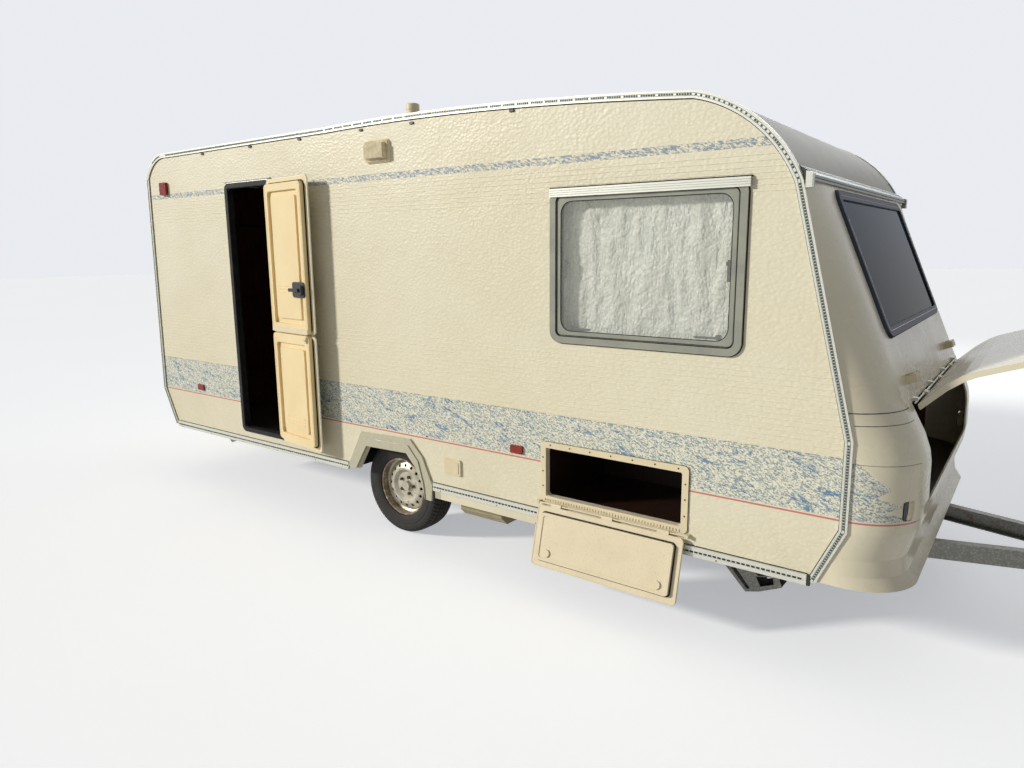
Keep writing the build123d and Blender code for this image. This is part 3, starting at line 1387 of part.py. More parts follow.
def make_drum(side):
    """A brake drum with a bore for the stub axle."""
    with BuildPart() as drum:
        with BuildSketch(side_plane(side * (BACKPLATE + 8 + DRUM_GAP))):
            with Locations(at(WHEEL_STATION, WHEEL_HEIGHT)):
                Circle(DRUM_RADIUS)
                Circle(STUB + PIN_CLEARANCE, mode=Mode.SUBTRACT)
        extrude(amount=-side * (WHEEL_TRACK / 2 + RIM_FACE - 6 - BACKPLATE - 8 - DRUM_GAP))
    return drum


tyre_right = make_tyre(RIGHT)
tyre_right.part.label = "tyre_right"
export_step(tyre_right.part, "parts/tyre_right.step")

tyre_left = make_tyre(LEFT)
tyre_left.part.label = "tyre_left"
export_step(tyre_left.part, "parts/tyre_left.step")

rim_right = make_rim(RIGHT)
rim_right.part.label = "rim_right"
export_step(rim_right.part, "parts/rim_right.step")

rim_left = make_rim(LEFT)
rim_left.part.label = "rim_left"
export_step(rim_left.part, "parts/rim_left.step")

drum_right = make_drum(RIGHT)
drum_right.part.label = "drum_right"
export_step(drum_right.part, "parts/drum_right.step")

drum_left = make_drum(LEFT)
drum_left.part.label = "drum_left"
export_step(drum_left.part, "parts/drum_left.step")

# Overrun hitch: a casting on the drawbar's nose with a sliding shaft and a rubber gaiter
with BuildPart() as overrun_hitch:
    block((DRAWBAR_NOSE - 180, DRAWBAR_NOSE), (-45, 45), (FLOOR_BOTTOM, SHAFT_HEIGHT))
    with BuildSketch(Plane.YZ.offset(fore(DRAWBAR_NOSE - 200))):
        with Locations((0, up(SHAFT_HEIGHT))):
            Circle(38)
    extrude(amount=230)
    with BuildSketch(Plane.YZ.offset(fore(DRAWBAR_NOSE))):
        with Locations((0, up(SHAFT_HEIGHT))):
            Circle(24)
    extrude(amount=HEAD_START - DRAWBAR_NOSE)
    for fold in range(GAITER_FOLDS):
        with BuildSketch(Plane.YZ.offset(fore(DRAWBAR_NOSE + 32 + fold * GAITER_PITCH))):
            with Locations((0, up(SHAFT_HEIGHT))):
                Circle(34)
        extrude(amount=GAITER_PITCH * 0.6)
overrun_hitch.part.label = "overrun_hitch"
export_step(overrun_hitch.part, "parts/overrun_hitch.step")

# Coupling head: a neck, the ball cup and the release handle
with BuildPart() as coupling_head:
    block((HEAD_START, BALL_STATION - 10), (-30, 30), (SHAFT_HEIGHT - 22, SHAFT_HEIGHT + 26))
    with BuildSketch(Plane.XY.offset(-CUP_DEPTH)):
        Circle(BALL_DIAMETER / 2 + CUP_WALL)
    extrude(amount=CUP_DEPTH + BALL_DIAMETER / 2 + CUP_WALL - 2)
    with BuildSketch(side_plane(-12)):
        with BuildLine():
            Polyline(
                at(BALL_STATION - 60, SHAFT_HEIGHT + 26),
                at(BALL_STATION - 20, SHAFT_HEIGHT + 26),
                at(BALL_STATION + 20, SHAFT_HEIGHT + 70),
                at(BALL_STATION + 10, SHAFT_HEIGHT + 84),
                at(BALL_STATION - 150, SHAFT_HEIGHT + 60),
                at(BALL_STATION - 146, SHAFT_HEIGHT + 46),
                close=True,
            )
        make_face()
    extrude(amount=-24)
    with BuildSketch(Plane.XY.offset(-CUP_DEPTH - 1)):
        Circle(BALL_DIAMETER / 2 + CUP_CLEARANCE)
    extrude(amount=CUP_DEPTH + 1, mode=Mode.SUBTRACT)
    with Locations((0, 0, 0)):
        Sphere(BALL_DIAMETER / 2 + CUP_CLEARANCE, mode=Mode.SUBTRACT)
coupling_head.part.label = "coupling_head"
export_step(coupling_head.part, "parts/coupling_head.step")

# Handbrake lever with its grip, on the drawbar's nose
with BuildPart() as handbrake_lever:
    with BuildSketch(side_plane(HANDBRAKE_SIDE)):
        with BuildLine():
            Polyline(*[at(*point) for point in HANDBRAKE], close=True)
        make_face()
        with Locations(at(*HANDBRAKE_PIVOT)):
            Circle(34)
    extrude(amount=8)
    grip_start, grip_end = HANDBRAKE_GRIP
    direction = Vector(*at(*grip_end)) - Vector(*at(*grip_start))
    start = Vector(at(*grip_start)[0], HANDBRAKE_SIDE - 4, at(*grip_start)[1])
    with BuildSketch(Plane(origin=start, z_dir=(direction.X, 0, direction.Y))):
        Circle(15)
    extrude(amount=direction.length)
handbrake_lever.part.label = "handbrake_lever"
export_step(handbrake_lever.part, "parts/handbrake_lever.step")

# Jockey wheel mast with its clamp, on top of the drawbar
with BuildPart() as jockey_mast:
    block(
        (JOCKEY_STATION - 30, JOCKEY_STATION + 30),
        (JOCKEY_SIDE - 20, JOCKEY_SIDE + 95),
        (FLOOR_BOTTOM, FLOOR_BOTTOM + 22),
    )
    with BuildSketch(Plane.XY.offset(up(MAST_BOTTOM))):
        with Locations((fore(JOCKEY_STATION), JOCKEY_SIDE)):
            Circle(MAST_DIAMETER / 2)
    extrude(amount=MAST_TOP - MAST_BOTTOM)
    with BuildSketch(Plane.XY.offset(up(MAST_BOTTOM - 10))):
        with Locations((fore(JOCKEY_STATION), JOCKEY_SIDE)):
            Circle(MAST_BORE / 2)
    extrude(amount=MAST_TOP - MAST_BOTTOM + 20, mode=Mode.SUBTRACT)
    block(
        (JOCKEY_STATION + 30, JOCKEY_STATION + 78),
        (JOCKEY_SIDE - 6, JOCKEY_SIDE + 6),
        (FLOOR_BOTTOM + 5, FLOOR_BOTTOM + 17),
    )
jockey_mast.part.label = "jockey_mast"
export_step(jockey_mast.part, "parts/jockey_mast.step")

# Jockey stem: the inner tube with its winding handle, crown and fork
with BuildPart() as jockey_fork:
    with BuildSketch(Plane.XY.offset(up(CROWN_HEIGHT))):
        with Locations((fore(JOCKEY_STATION), JOCKEY_SIDE)):
            Circle(STEM_DIAMETER / 2)
    extrude(amount=MAST_TOP + 24 - CROWN_HEIGHT)
    block(
        (JOCKEY_STATION - JOCKEY_TRAIL - 24, JOCKEY_STATION + 26),
        (JOCKEY_SIDE - FORK_HALF - 5, JOCKEY_SIDE + FORK_HALF + 5),
        (CROWN_HEIGHT - 6, CROWN_HEIGHT),
    )
    for side in SIDES:
        with BuildSketch(side_plane(JOCKEY_SIDE + side * FORK_HALF)):
            with BuildLine():
                Polyline(
                    at(JOCKEY_STATION + 26, CROWN_HEIGHT),
                    at(JOCKEY_STATION - JOCKEY_TRAIL + 18, JOCKEY_WHEEL / 2 - 18),
                    at(JOCKEY_STATION - JOCKEY_TRAIL - 18, JOCKEY_WHEEL / 2 - 18),
                    at(JOCKEY_STATION - JOCKEY_TRAIL - 24, CROWN_HEIGHT),
                    close=True,
                )
            make_face()
        extrude(amount=-side * 5)
    with BuildSketch(side_plane(JOCKEY_SIDE - FORK_HALF - 5)):
        with Locations(at(JOCKEY_STATION - JOCKEY_TRAIL, JOCKEY_WHEEL / 2)):
            Circle(JOCKEY_PIN)
    extrude(amount=-2 * (FORK_HALF + 5))
    with Locations((fore(JOCKEY_STATION), JOCKEY_SIDE, up(MAST_TOP + 18))):
        Box(150, 18, 12)
    with Locations((fore(JOCKEY_STATION + 66), JOCKEY_SIDE, up(MAST_TOP + 42))):
        Cylinder(11, 48)
jockey_fork.part.label = "jockey_fork"
export_step(jockey_fork.part, "parts/jockey_fork.step")

# Jockey wheel: a solid tyre on a narrow hub
with BuildPart() as jockey_wheel:
    origin = (fore(JOCKEY_STATION - JOCKEY_TRAIL), JOCKEY_SIDE, up(JOCKEY_WHEEL / 2))
    radius = JOCKEY_WHEEL / 2
    with BuildSketch(Plane(origin=origin, x_dir=(0, 1, 0), z_dir=(1, 0, 0))):
        with BuildLine():
            Polyline(
                (-FORK_HALF + 6, JOCKEY_PIN + PIN_CLEARANCE), (-FORK_HALF + 6, 24), (-12, 26), (-12, 62),
                (-26, 66), (-26, radius - 14), (-17, radius - 4), (-8, radius), (8, radius),
                (17, radius - 4), (26, radius - 14), (26, 66), (12, 62), (12, 26), (FORK_HALF - 6, 24),
                (FORK_HALF - 6, JOCKEY_PIN + PIN_CLEARANCE), (-FORK_HALF + 6, JOCKEY_PIN + PIN_CLEARANCE),
            )
        make_face()
    revolve(axis=Axis(origin, (0, 1, 0)))
jockey_wheel.part.label = "jockey_wheel"
export_step(jockey_wheel.part, "parts/jockey_wheel.step")

# Waste-water tank under the floor
with BuildPart() as waste_tank:
    block(TANK, TANK_SIDE, (TANK_BOTTOM, FLOOR_BOTTOM))
    chamfer(waste_tank.edges().filter_by(Axis.X).group_by(Axis.Z)[0], 45)
    fillet(waste_tank.edges().filter_by(Axis.Z), 14)
waste_tank.part.label = "waste_tank"
export_step(waste_tank.part, "parts/waste_tank.step")

# Brackets of the corner steadies, two ears and a pin under each corner of the floor
with BuildPart() as steady_brackets:
    for station, facing, fold in STEADIES:
        for side in SIDES:
            middle = side * STEADY_SPREAD / 2
            ends = (station - STEADY_EYE, station + STEADY_EYE)
            block(ends, (middle - EAR, middle + EAR), (FLOOR_BOTTOM - 3, FLOOR_BOTTOM))
            for ear in SIDES:
                block(
                    ends,
                    (middle + ear * (EAR - EAR_PLATE), middle + ear * EAR),
                    (STEADY_PIVOT_HEIGHT - STEADY_EYE, FLOOR_BOTTOM),
                )
            with BuildSketch(side_plane(middle - EAR)):
                with Locations(at(station, STEADY_PIVOT_HEIGHT)):
                    Circle(STEADY_PIN)
            extrude(amount=-2 * EAR)
steady_brackets.part.label = "steady_brackets"
export_step(steady_brackets.part, "parts/steady_brackets.step")


def make_steady(station, facing, fold, side):
    """A corner steady: two side plates with holes, joined by a web and a broad foot plate."""
    turn = radians(fold)
    pivot = (fore(station), side * STEADY_SPREAD / 2, up(STEADY_PIVOT_HEIGHT))
    leg = Plane(origin=pivot, x_dir=(facing * cos(turn), 0, sin(turn)), z_dir=(0, -facing, 0))
    toe = STEADY_FOOT[2][0]
    eye = ((-STEADY_EYE, 0), (-STEADY_EYE * 0.7, -STEADY_EYE * 0.7))
    outline = (*eye, *STEADY_FOOT, (20, 14), (-12, 20))
    inside = [(x + STEADY_PLATE, y + STEADY_PLATE) for x, y in (eye[1], *STEADY_FOOT[:3])]
    with BuildPart() as steady:
        with BuildSketch(leg):
            with BuildLine():
                Polyline(*outline, close=True)
            make_face()
        extrude(amount=STEADY_WIDTH / 2, both=True)
        with BuildSketch(leg):
            with BuildLine():
                clear = 2 * STEADY_EYE
                Polyline((-clear, clear), *inside, (toe + clear, clear), close=True)
            make_face()
        extrude(amount=STEADY_WIDTH / 2 - STEADY_PLATE, both=True, mode=Mode.SUBTRACT)
        with BuildSketch(leg):
            for hole in (STEADY_SLOT, STEADY_WINDOW):
                with BuildLine():
                    Polyline(*hole, close=True)
                make_face()
            Circle(STEADY_PIN + PIN_CLEARANCE)
        extrude(amount=STEADY_WIDTH, both=True, mode=Mode.SUBTRACT)
    return steady


steady_front_right = make_steady(*STEADIES[0], RIGHT)
steady_front_right.part.label = "steady_front_right"
export_step(steady_front_right.part, "parts/steady_front_right.step")

steady_front_left = make_steady(*STEADIES[0], LEFT)
steady_front_left.part.label = "steady_front_left"
export_step(steady_front_left.part, "parts/steady_front_left.step")

steady_rear_right = make_steady(*STEADIES[1], RIGHT)
steady_rear_right.part.label = "steady_rear_right"
export_step(steady_rear_right.part, "parts/steady_rear_right.step")

steady_rear_left = make_steady(*STEADIES[1], LEFT)
steady_rear_left.part.label = "steady_rear_left"
export_step(steady_rear_left.part, "parts/steady_rear_left.step")
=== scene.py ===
"""Looks of the travel caravan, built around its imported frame.

Places on the caravan are stations forward of the rear wall and heights above the ground, in millimetres.
sx() and sz() turn them into metres in the frame's axes.
"""

import json
import math
import bmesh
import bpy
from mathutils import Matrix, Vector, noise


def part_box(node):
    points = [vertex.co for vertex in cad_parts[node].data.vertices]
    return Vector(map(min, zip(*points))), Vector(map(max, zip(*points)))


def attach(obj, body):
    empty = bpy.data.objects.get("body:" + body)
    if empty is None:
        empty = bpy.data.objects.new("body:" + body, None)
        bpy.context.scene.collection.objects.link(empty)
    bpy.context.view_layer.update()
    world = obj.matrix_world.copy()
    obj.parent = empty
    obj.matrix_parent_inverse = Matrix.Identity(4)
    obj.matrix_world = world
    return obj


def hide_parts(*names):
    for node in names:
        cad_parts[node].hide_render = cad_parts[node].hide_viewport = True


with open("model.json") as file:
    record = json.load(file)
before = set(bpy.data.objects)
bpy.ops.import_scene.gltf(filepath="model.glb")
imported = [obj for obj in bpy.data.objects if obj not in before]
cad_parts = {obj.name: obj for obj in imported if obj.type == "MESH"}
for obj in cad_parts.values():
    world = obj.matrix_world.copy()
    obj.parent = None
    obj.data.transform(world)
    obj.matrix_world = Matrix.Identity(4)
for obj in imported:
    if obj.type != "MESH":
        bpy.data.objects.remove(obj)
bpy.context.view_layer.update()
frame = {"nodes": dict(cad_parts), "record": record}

nodes = frame["nodes"]

# The towing ball, the frame's origin
BALL = (6683, 430)
# A wheel's station and height
WHEEL = (2644, 302)
# Distances from the middle plane, the walls' and the hinges' in metres
WHEEL_SIDE = 930
HALF_WIDTH = 1.1
HINGE_SIDE = -1.122
# The leaves' hinge station, and the flap's with its height
LEAF_HINGE = 1600
FLAP_HINGE = (4189.5, 470)
# Rear and front station, lowest and highest height
SIDE_WINDOW = (3839, 4812, 1324, 2070)
WINDOWS = {-1: (SIDE_WINDOW,), 1: (SIDE_WINDOW, (2350, 3150, 1450, 2070), (1080, 1480, 1600, 2070))}
DOOR = (1088, 1612, 470, 2252)
HATCH = (3780, 4599, 475, 800)
REAR_MARKER = (246, 334, 2213, 2306)
VENTS = ((1560, 1950, 1180, 1380), (1560, 1950, 760, 960))
AWNING_LAMP = (2554, 2739, 2287, 2402)
SERVICE_CAP = (3102, 3224, 501, 595)


def sx(station):
    """X of a station."""
    return (station - BALL[0]) / 1000


def sz(height):
    """Z of a height above the ground."""
    return (height - BALL[1]) / 1000


def srgb(red, green, blue):
    """Linear colour of a colour given as 0 to 255."""
    def channel(value):
        value /= 255
        return value / 12.92 if value <= 0.04045 else ((value + 0.055) / 1.055) ** 2.4
    return (channel(red), channel(green), channel(blue), 1.0)


# Side profile of the body, the path of the keder rails
PROFILE = (
    ("line", (155, 395), (10, 680)),
    ("line", (10, 680), (49, 2355)),
    ("arc", (49, 2355), (172, 2478), (346, 2513)),
    ("line", (346, 2513), (2196, 2515)),
    ("arc", (2196, 2515), (3500, 2502), (4559, 2429)),
    ("arc", (4559, 2429), (4836, 2289), (5018, 2044)),
    ("line", (5018, 2044), (5273, 1020)),
    ("line", (5273, 1020), (5276, 641)),
    ("line", (5276, 641), (5168, 395)),
)


# Places and shapes


class Face:
    """A flat place on the object. Its points are given in millimetres across, up and out of it."""

    def __init__(self, origin, across, upward, outward):
        self.origin = Vector(origin)
        self.axes = [Vector(axis).normalized() / 1000 for axis in (across, upward, outward)]

    def at(self, u, v, out=0.0):
        across, upward, outward = self.axes
        return self.origin + across * u + upward * v + outward * out


def turned(angle):
    """Cosine and sine of an angle in degrees."""
    return math.cos(math.radians(angle)), math.sin(math.radians(angle))


SIDES = {-1: "right", 1: "left"}
WALLS = {side: Face((sx(0), side * HALF_WIDTH, sz(0)), (1, 0, 0), (0, 0, 1), (0, side, 0)) for side in SIDES}
# The rear wall leans along the profile's second line, and the front window lies in the nose's slope
REAR = Face((sx(10), 0, sz(680)), (0, -1, 0), (39, 0, 1675), (-1675, 0, 39))
NOSE = Face((sx(5233.5), 0, sz(1590.5)), (0, 1, 0), (-0.42, 0, 1), (1, 0, 0.42))
# The leaves and the flap as they stand open at rest, across and up from their hinges
LEAF_COS, LEAF_SIN = turned(173)
FLAP_COS, FLAP_SIN = turned(166)
LEAF = Face((sx(LEAF_HINGE), HINGE_SIDE, sz(0)), (-LEAF_COS, -LEAF_SIN, 0), (0, 0, 1), (-LEAF_SIN, LEAF_COS, 0))
FLAP = Face(
    (sx(FLAP_HINGE[0]), HINGE_SIDE, sz(FLAP_HINGE[1])),
    (-1, 0, 0), (0, -FLAP_SIN, FLAP_COS), (0, FLAP_COS, FLAP_SIN),
)


def rounded_loop(size, radius, grow=0.0, steps=6):
    """A rounded rectangle's points about its middle, grown outwards."""
    half_u, half_v, turn = size[0] / 2 + grow, size[1] / 2 + grow, max(radius + grow, 0.5)
    loop = []
    for quarter, (right, top) in enumerate(((1, 1), (-1, 1), (-1, -1), (1, -1))):
        for step in range(steps + 1):
            cos, sin = turned(90 * (quarter + step / steps))
            loop.append((right * (half_u - turn) + turn * cos, top * (half_v - turn) + turn * sin))
    return loop


def placed(name, data, place=(0, 0, 0), turn=None):
    """A new object of the scene."""
    made = bpy.data.objects.new(name, data)
    made.location = place
    if turn is not None:
        made.rotation_euler = turn.to_euler()
    bpy.context.scene.collection.objects.link(made)
    return made


class Shape:
    """Points and faces gathered into one piece."""

    def __init__(self):
        self.verts, self.faces = [], []

    def skin(self, loops, along=False):
        """Skins a row of closed loops. The row closes on itself where along is true, or else gets two caps."""
        loops = [list(loop) for loop in loops]
        start, count = len(self.verts), len(loops[0])
        self.verts += [Vector(point) for loop in loops for point in loop]
        for row in range(len(loops) if along else len(loops) - 1):
            here, there = start + row * count, start + (row + 1) % len(loops) * count
            for i in range(count):
                j = (i + 1) % count
                self.faces.append((here + i, here + j, there + j, there + i))
        if not along:
            last = start + (len(loops) - 1) * count
            self.faces += [tuple(range(start, start + count)), tuple(range(last + count - 1, last - 1, -1))]
        return self

    def ring(self, face, centre, size, radius, section):
        """A closed section swept round a rounded rectangle: pairs of growth and height out."""
        rows = []
        for grow, out in section:
            loop = rounded_loop(size, radius, grow)
            rows.append([face.at(centre[0] + u, centre[1] + v, out) for u, v in loop])
        return self.skin(zip(*rows), along=True)

    def plate(self, face, centre, size, radius, low, high, bevel=1.0):
        """A rounded plate with a bevelled outer edge."""
        return self.skin([
            [face.at(centre[0] + u, centre[1] + v, out) for u, v in rounded_loop(size, radius, grow, 3)]
            for grow, out in ((0, low), (0, high - bevel), (-bevel, high))
        ])

    def bar(self, face, start, end, height, section):
        """A section swept level along a face: pairs of height and height out."""
        return self.skin([[face.at(u, height + v, out) for v, out in section] for u in (start, end)])

    def stud(self, face, centre, radius, low, high, sides=10):
        """A domed screw head."""
        rise = high - low
        levels = ((radius, low), (radius, low + rise * 0.5), (radius * 0.8, low + rise * 0.85), (radius * 0.35, high))
        spots = [turned(360 * i / sides) for i in range(sides)]
        return self.skin([
            [face.at(centre[0] + reach * cos, centre[1] + reach * sin, out) for cos, sin in spots]
            for reach, out in levels
        ])

    def piece(self, name, slot, body="root", crease=38, finish=None):
        """Makes the gathered faces a piece that rides on a body, with a slot's finish or one of its own."""
        mesh = bpy.data.meshes.new(name)
        mesh.from_pydata(self.verts, [], self.faces)
        work = bmesh.new()
        work.from_mesh(mesh)
        bmesh.ops.recalc_face_normals(work, faces=work.faces)
        work.to_mesh(mesh)
        work.free()
        mesh.polygons.foreach_set("use_smooth", [True] * len(mesh.polygons))
        mesh.set_sharp_from_angle(angle=math.radians(crease))
        mesh.materials.append(materials[finish or slot])
        made = placed(name, mesh)
        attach(made, body)
        return made


def arc_points(start, middle, end, count):
    """Points along the circle through three points, without the last."""
    ax, ay = start
    bx, by = middle
    cx, cy = end
    d = 2 * (ax * (by - cy) + bx * (cy - ay) + cx * (ay - by))
    ux = ((ax**2 + ay**2) * (by - cy) + (bx**2 + by**2) * (cy - ay) + (cx**2 + cy**2) * (ay - by)) / d
    uy = ((ax**2 + ay**2) * (cx - bx) + (bx**2 + by**2) * (ax - cx) + (cx**2 + cy**2) * (bx - ax)) / d
    radius = math.hypot(ax - ux, ay - uy)
    first = math.atan2(ay - uy, ax - ux)
    last = math.atan2(cy - uy, cx - ux)
    if last > first:
        last -= 2 * math.pi
    angles = [first + i * ((last - first) / count) for i in range(count)]
    return [(ux + radius * math.cos(angle), uy + radius * math.sin(angle)) for angle in angles]


def profile_points(steps=28):
    """The body's side profile as stations and heights, from its rear foot over the roof to its front foot."""
    points = []
    for kind, *ends in PROFILE:
        points += arc_points(*ends, steps) if kind == "arc" else [ends[0]]
    return points + [PROFILE[-1][-1]]


def inset_profile(inset):
    """The side profile moved inwards, with its corners kept sharp."""
    points = [Vector(point) for point in profile_points()]
    runs = [(after - before).normalized() for before, after in zip(points, points[1:])]
    moved = []
    for i, point in enumerate(points):
        before, after = runs[max(i - 1, 0)], runs[min(i, len(runs) - 1)]
        inward = Vector((before.y + after.y, -before.x - after.x)).normalized()
        moved.append(point + inward * inset / max(inward.dot(Vector((after.y, -after.x))), 0.3))
    return moved


def wall_ends(height):
    """The rear and front stations of the side wall at a height."""
    points, crossed = profile_points(), []
    for (a, low), (b, high) in zip(points, points[1:]):
        if min(low, high) <= height <= max(low, high) and low != high:
            crossed.append(a + (height - low) / (high - low) * (b - a))
    return min(crossed), max(crossed)


def along(path, step, length):
    """Start and end points of dashes at an even step along a path."""
    spots, travelled, wanted = [], 0.0, 0.0
    for before, after in zip(path, path[1:]):
        run = (after - before).length
        while wanted + length <= travelled + run:
            if wanted >= travelled:
                spots.append([before.lerp(after, (wanted + part - travelled) / run) for part in (0, length)])
            wanted += step
        travelled += run
    return spots


# Materials


class Nodes:
    """A node tree, with short ways to add to it."""

    def __init__(self, tree):
        self.tree = tree

    def node(self, kind, **settings):
        made = self.tree.nodes.new(kind)
        for key, value in settings.items():
            setattr(made, key, value)
        return made

    def put(self, source, socket):
        if isinstance(source, bpy.types.NodeSocket):
            self.tree.links.new(source, socket)
        else:
            socket.default_value = source

    def sum(self, operation, first, second=0.0, kind="ShaderNodeMath", result=0):
        """The result of a Math node, or of a Vector Math one."""
        made = self.node(kind, operation=operation)
        self.put(first, made.inputs[0])
        self.put(second, made.inputs[1])
        return made.outputs[result]

    def all(self, *shares):
        """The product of several shares."""
        product = shares[0]
        for share in shares[1:]:
            product = self.sum("MULTIPLY", product, share)
        return product

    def rest(self, share):
        """What a share leaves of 1."""
        return self.sum("SUBTRACT", 1.0, share)

    def pick(self, share, first, second):
        """The first number where the share is 0 and the second where it is 1."""
        return self.sum("ADD", first, self.all(self.sum("SUBTRACT", second, first), share))

    def seen(self):
        """1 where the camera, a reflection or a clear pane sees the surface, and else 0."""
        rays = self.node("ShaderNodeLightPath").outputs
        share = self.sum("MAXIMUM", rays["Is Camera Ray"], rays["Is Glossy Ray"])
        return self.sum("MAXIMUM", share, rays["Is Transmission Ray"])


class Paint(Nodes):
    """A principled material in object coordinates."""

    def __init__(self, name, rough=0.5, metal=0.0, **sockets):
        self.mat = bpy.data.materials.new(name)
        self.mat.use_nodes = True
        super().__init__(self.mat.node_tree)
        self.shader = self.tree.nodes["Principled BSDF"]
        for socket, value in {"Roughness": rough, "Metallic": metal, **sockets}.items():
            self.shader.inputs[socket.replace("_", " ")].default_value = value
        self.place = self.node("ShaderNodeTexCoord").outputs["Object"]

    def mapped(self, scale, tilt=0.0):
        """Object coordinates turned about Y by a tilt in degrees, then stretched along each axis."""
        place = self.place
        for name, value in (("Rotation", (0, math.radians(tilt), 0)), ("Scale", scale)):
            mapping = self.node("ShaderNodeMapping")
            mapping.inputs[name].default_value = value
            self.put(place, mapping.inputs["Vector"])
            place = mapping.outputs["Vector"]
        return place

    def noise(self, size, detail=4.0, rough=0.55, scale=(1, 1, 1), twist=0.0, tilt=0.0):
        """Clouds of this size in metres."""
        made = self.node("ShaderNodeTexNoise")
        for socket, value in (("Scale", 1 / size), ("Detail", detail), ("Roughness", rough), ("Distortion", twist)):
            made.inputs[socket].default_value = value
        self.put(self.mapped(scale, tilt), made.inputs["Vector"])
        return made.outputs["Fac"]

    def cells(self, size, scale=(1, 1, 1), feature="F1"):
        """Cells of this size in metres."""
        made = self.node("ShaderNodeTexVoronoi", feature=feature)
        made.inputs["Scale"].default_value = 1 / size
        self.put(self.mapped(scale), made.inputs["Vector"])
        return made.outputs["Distance"]

    def ramp(self, value, *stops):
        """A colour or grey ramp through pairs of position and colour."""
        made = self.node("ShaderNodeValToRGB")
        ramp = made.color_ramp
        while len(ramp.elements) < len(stops):
            ramp.elements.new(0.5)
        for element, (position, colour) in zip(ramp.elements, stops):
            element.position = position
            element.color = colour if not isinstance(colour, (int, float)) else (colour, colour, colour, 1)
        self.put(value, made.inputs["Fac"])
        return made.outputs["Color"]

    def mix(self, share, first, second):
        """The first colour where the share is 0 and the second where it is 1."""
        made = self.node("ShaderNodeMix", data_type="RGBA")
        for socket, value in ((0, share), (6, first), (7, second)):
            self.put(value, made.inputs[socket])
        return made.outputs[2]

    def over(self, base, top, pattern, start, end, most=1.0):
        """A top colour over a base where a pattern rises from start to end."""
        return self.mix(self.ramp(pattern, (start, 0.0), (end, most)), base, top)

    def axis(self, letter, source=None):
        """One object coordinate, or one part of another vector."""
        made = self.node("ShaderNodeSeparateXYZ")
        self.put(source or self.place, made.inputs[0])
        return made.outputs[letter]

    def aside(self):
        """Metres from the middle plane."""
        return self.sum("ABSOLUTE", self.axis("Y"))

    def on(self, face, which):
        """Metres across (0), up (1) or out of (2) a flat place, in object coordinates."""
        direction = face.axes[which].normalized()
        along = self.sum("DOT_PRODUCT", self.place, direction, "ShaderNodeVectorMath", "Value")
        return self.sum("SUBTRACT", along, face.origin.dot(direction))

    def span(self, value, start, end):
        """0 up to a start and 1 from an end."""
        made = self.node("ShaderNodeMapRange")
        self.put(value, made.inputs["Value"])
        made.inputs["From Min"].default_value = start
        made.inputs["From Max"].default_value = end
        return made.outputs["Result"]

    def above(self, value, level, soft=0.001):
        """1 where a value is above a level, with a soft edge."""
        return self.span(value, level - soft, level + soft)

    def inside(self, value, low, high, soft=0.001):
        """1 where a value lies between low and high, with soft edges."""
        return self.sum("SUBTRACT", self.above(value, low, soft), self.above(value, high, soft))

    def ahead(self, station):
        """1 ahead of a station."""
        return self.above(self.axis("X"), sx(station))

    def colour(self, value):
        self.put(value, self.shader.inputs["Base Color"])

    def roughness(self, value):
        self.put(value, self.shader.inputs["Roughness"])

    def bump(self, *layers):
        """Bump from pairs of height and distance, as a material's last step."""
        normal = None
        for height, distance in layers:
            made = self.node("ShaderNodeBump")
            made.inputs["Distance"].default_value = distance
            self.put(height, made.inputs["Height"])
            if normal is not None:
                self.put(normal, made.inputs["Normal"])
            normal = made.outputs["Normal"]
        self.put(normal, self.shader.inputs["Normal"])
        return self.mat

    def dirty(self, base, size=0.25, amount=0.35, low=-0.5, high=0.4):
        """Blotches of dirt that grow towards the ground."""
        blotch = self.ramp(self.noise(size, 6, 0.65), (0.42, 0.0), (0.72, 1.0))
        return self.mix(self.all(blotch, self.span(self.axis("Z"), high, low), amount), base, DIRT)


def shade(colour, share):
    """A darker tone of a colour."""
    return [channel * share for channel in colour[:3]] + [1]


CREAM = srgb(226, 219, 194)
# The pale glint of the hammered dimples, a painted highlight
HAMMER_GLINT = srgb(238, 232, 212)
DIRT = srgb(122, 104, 74)
BLACK = srgb(17, 17, 18)
DARK_WOOD = srgb(58, 32, 20)
RED = srgb(150, 22, 18)
HAMMERED = (0.013, (0.75, 1, 1.0), "SMOOTH_F1")
WOOD_GRAIN = (0.02, 6, 0.6, (1, 1, 0.08), 1.2)
# Lowest and highest Z of the wide band, the upper band and the red line, and X where that line ends
BAND = (sz(696), sz(946))
UPPER = (sz(2185), sz(2222))
RED_LINE = (sz(682), sz(690))
RED_LINE_END = sx(5515)
# The band ends on the nose in three points: heights with the station that the band reaches there
TIPS = ((690, 5476), (706, 5486), (738, 5400), (762, 5470), (800, 5368), (835, 5424), (941, 5292), (950, 5285))
# Lowest height and rearmost station of those points, each with its reach
TIP_HEIGHTS = (680, 280)
TIP_STATIONS = (5200, 400)
# Stations from which a material changes
REAR_INSIDE, LOCKER_SHADE_START, FLAP_START, NOSE_START, FRONT_LAMPS = 700, 3400, 3500, 4950, 5400
# Metres from the middle plane at which one changes
INSIDE, ARCH_SIDE, RAIL_SIDE, RECESS_SIDE, BOLT_SIDE = 1.0, 1.06, 1.08, 0.984, 0.9612
ARCH = (sx(2200), sx(3060))
BROW_FOOT = sz(1900)
# Z above which the front pane gets its painted sky reflection
SKY_REFLECTION_FOOT = sz(1800)
DOOR_LIP = 8
RIM_EDGE = 0.174
BOLT_RING = (0.036, 0.085)
LAMP_BARS = (770, 920)
HALF_BAR = 3


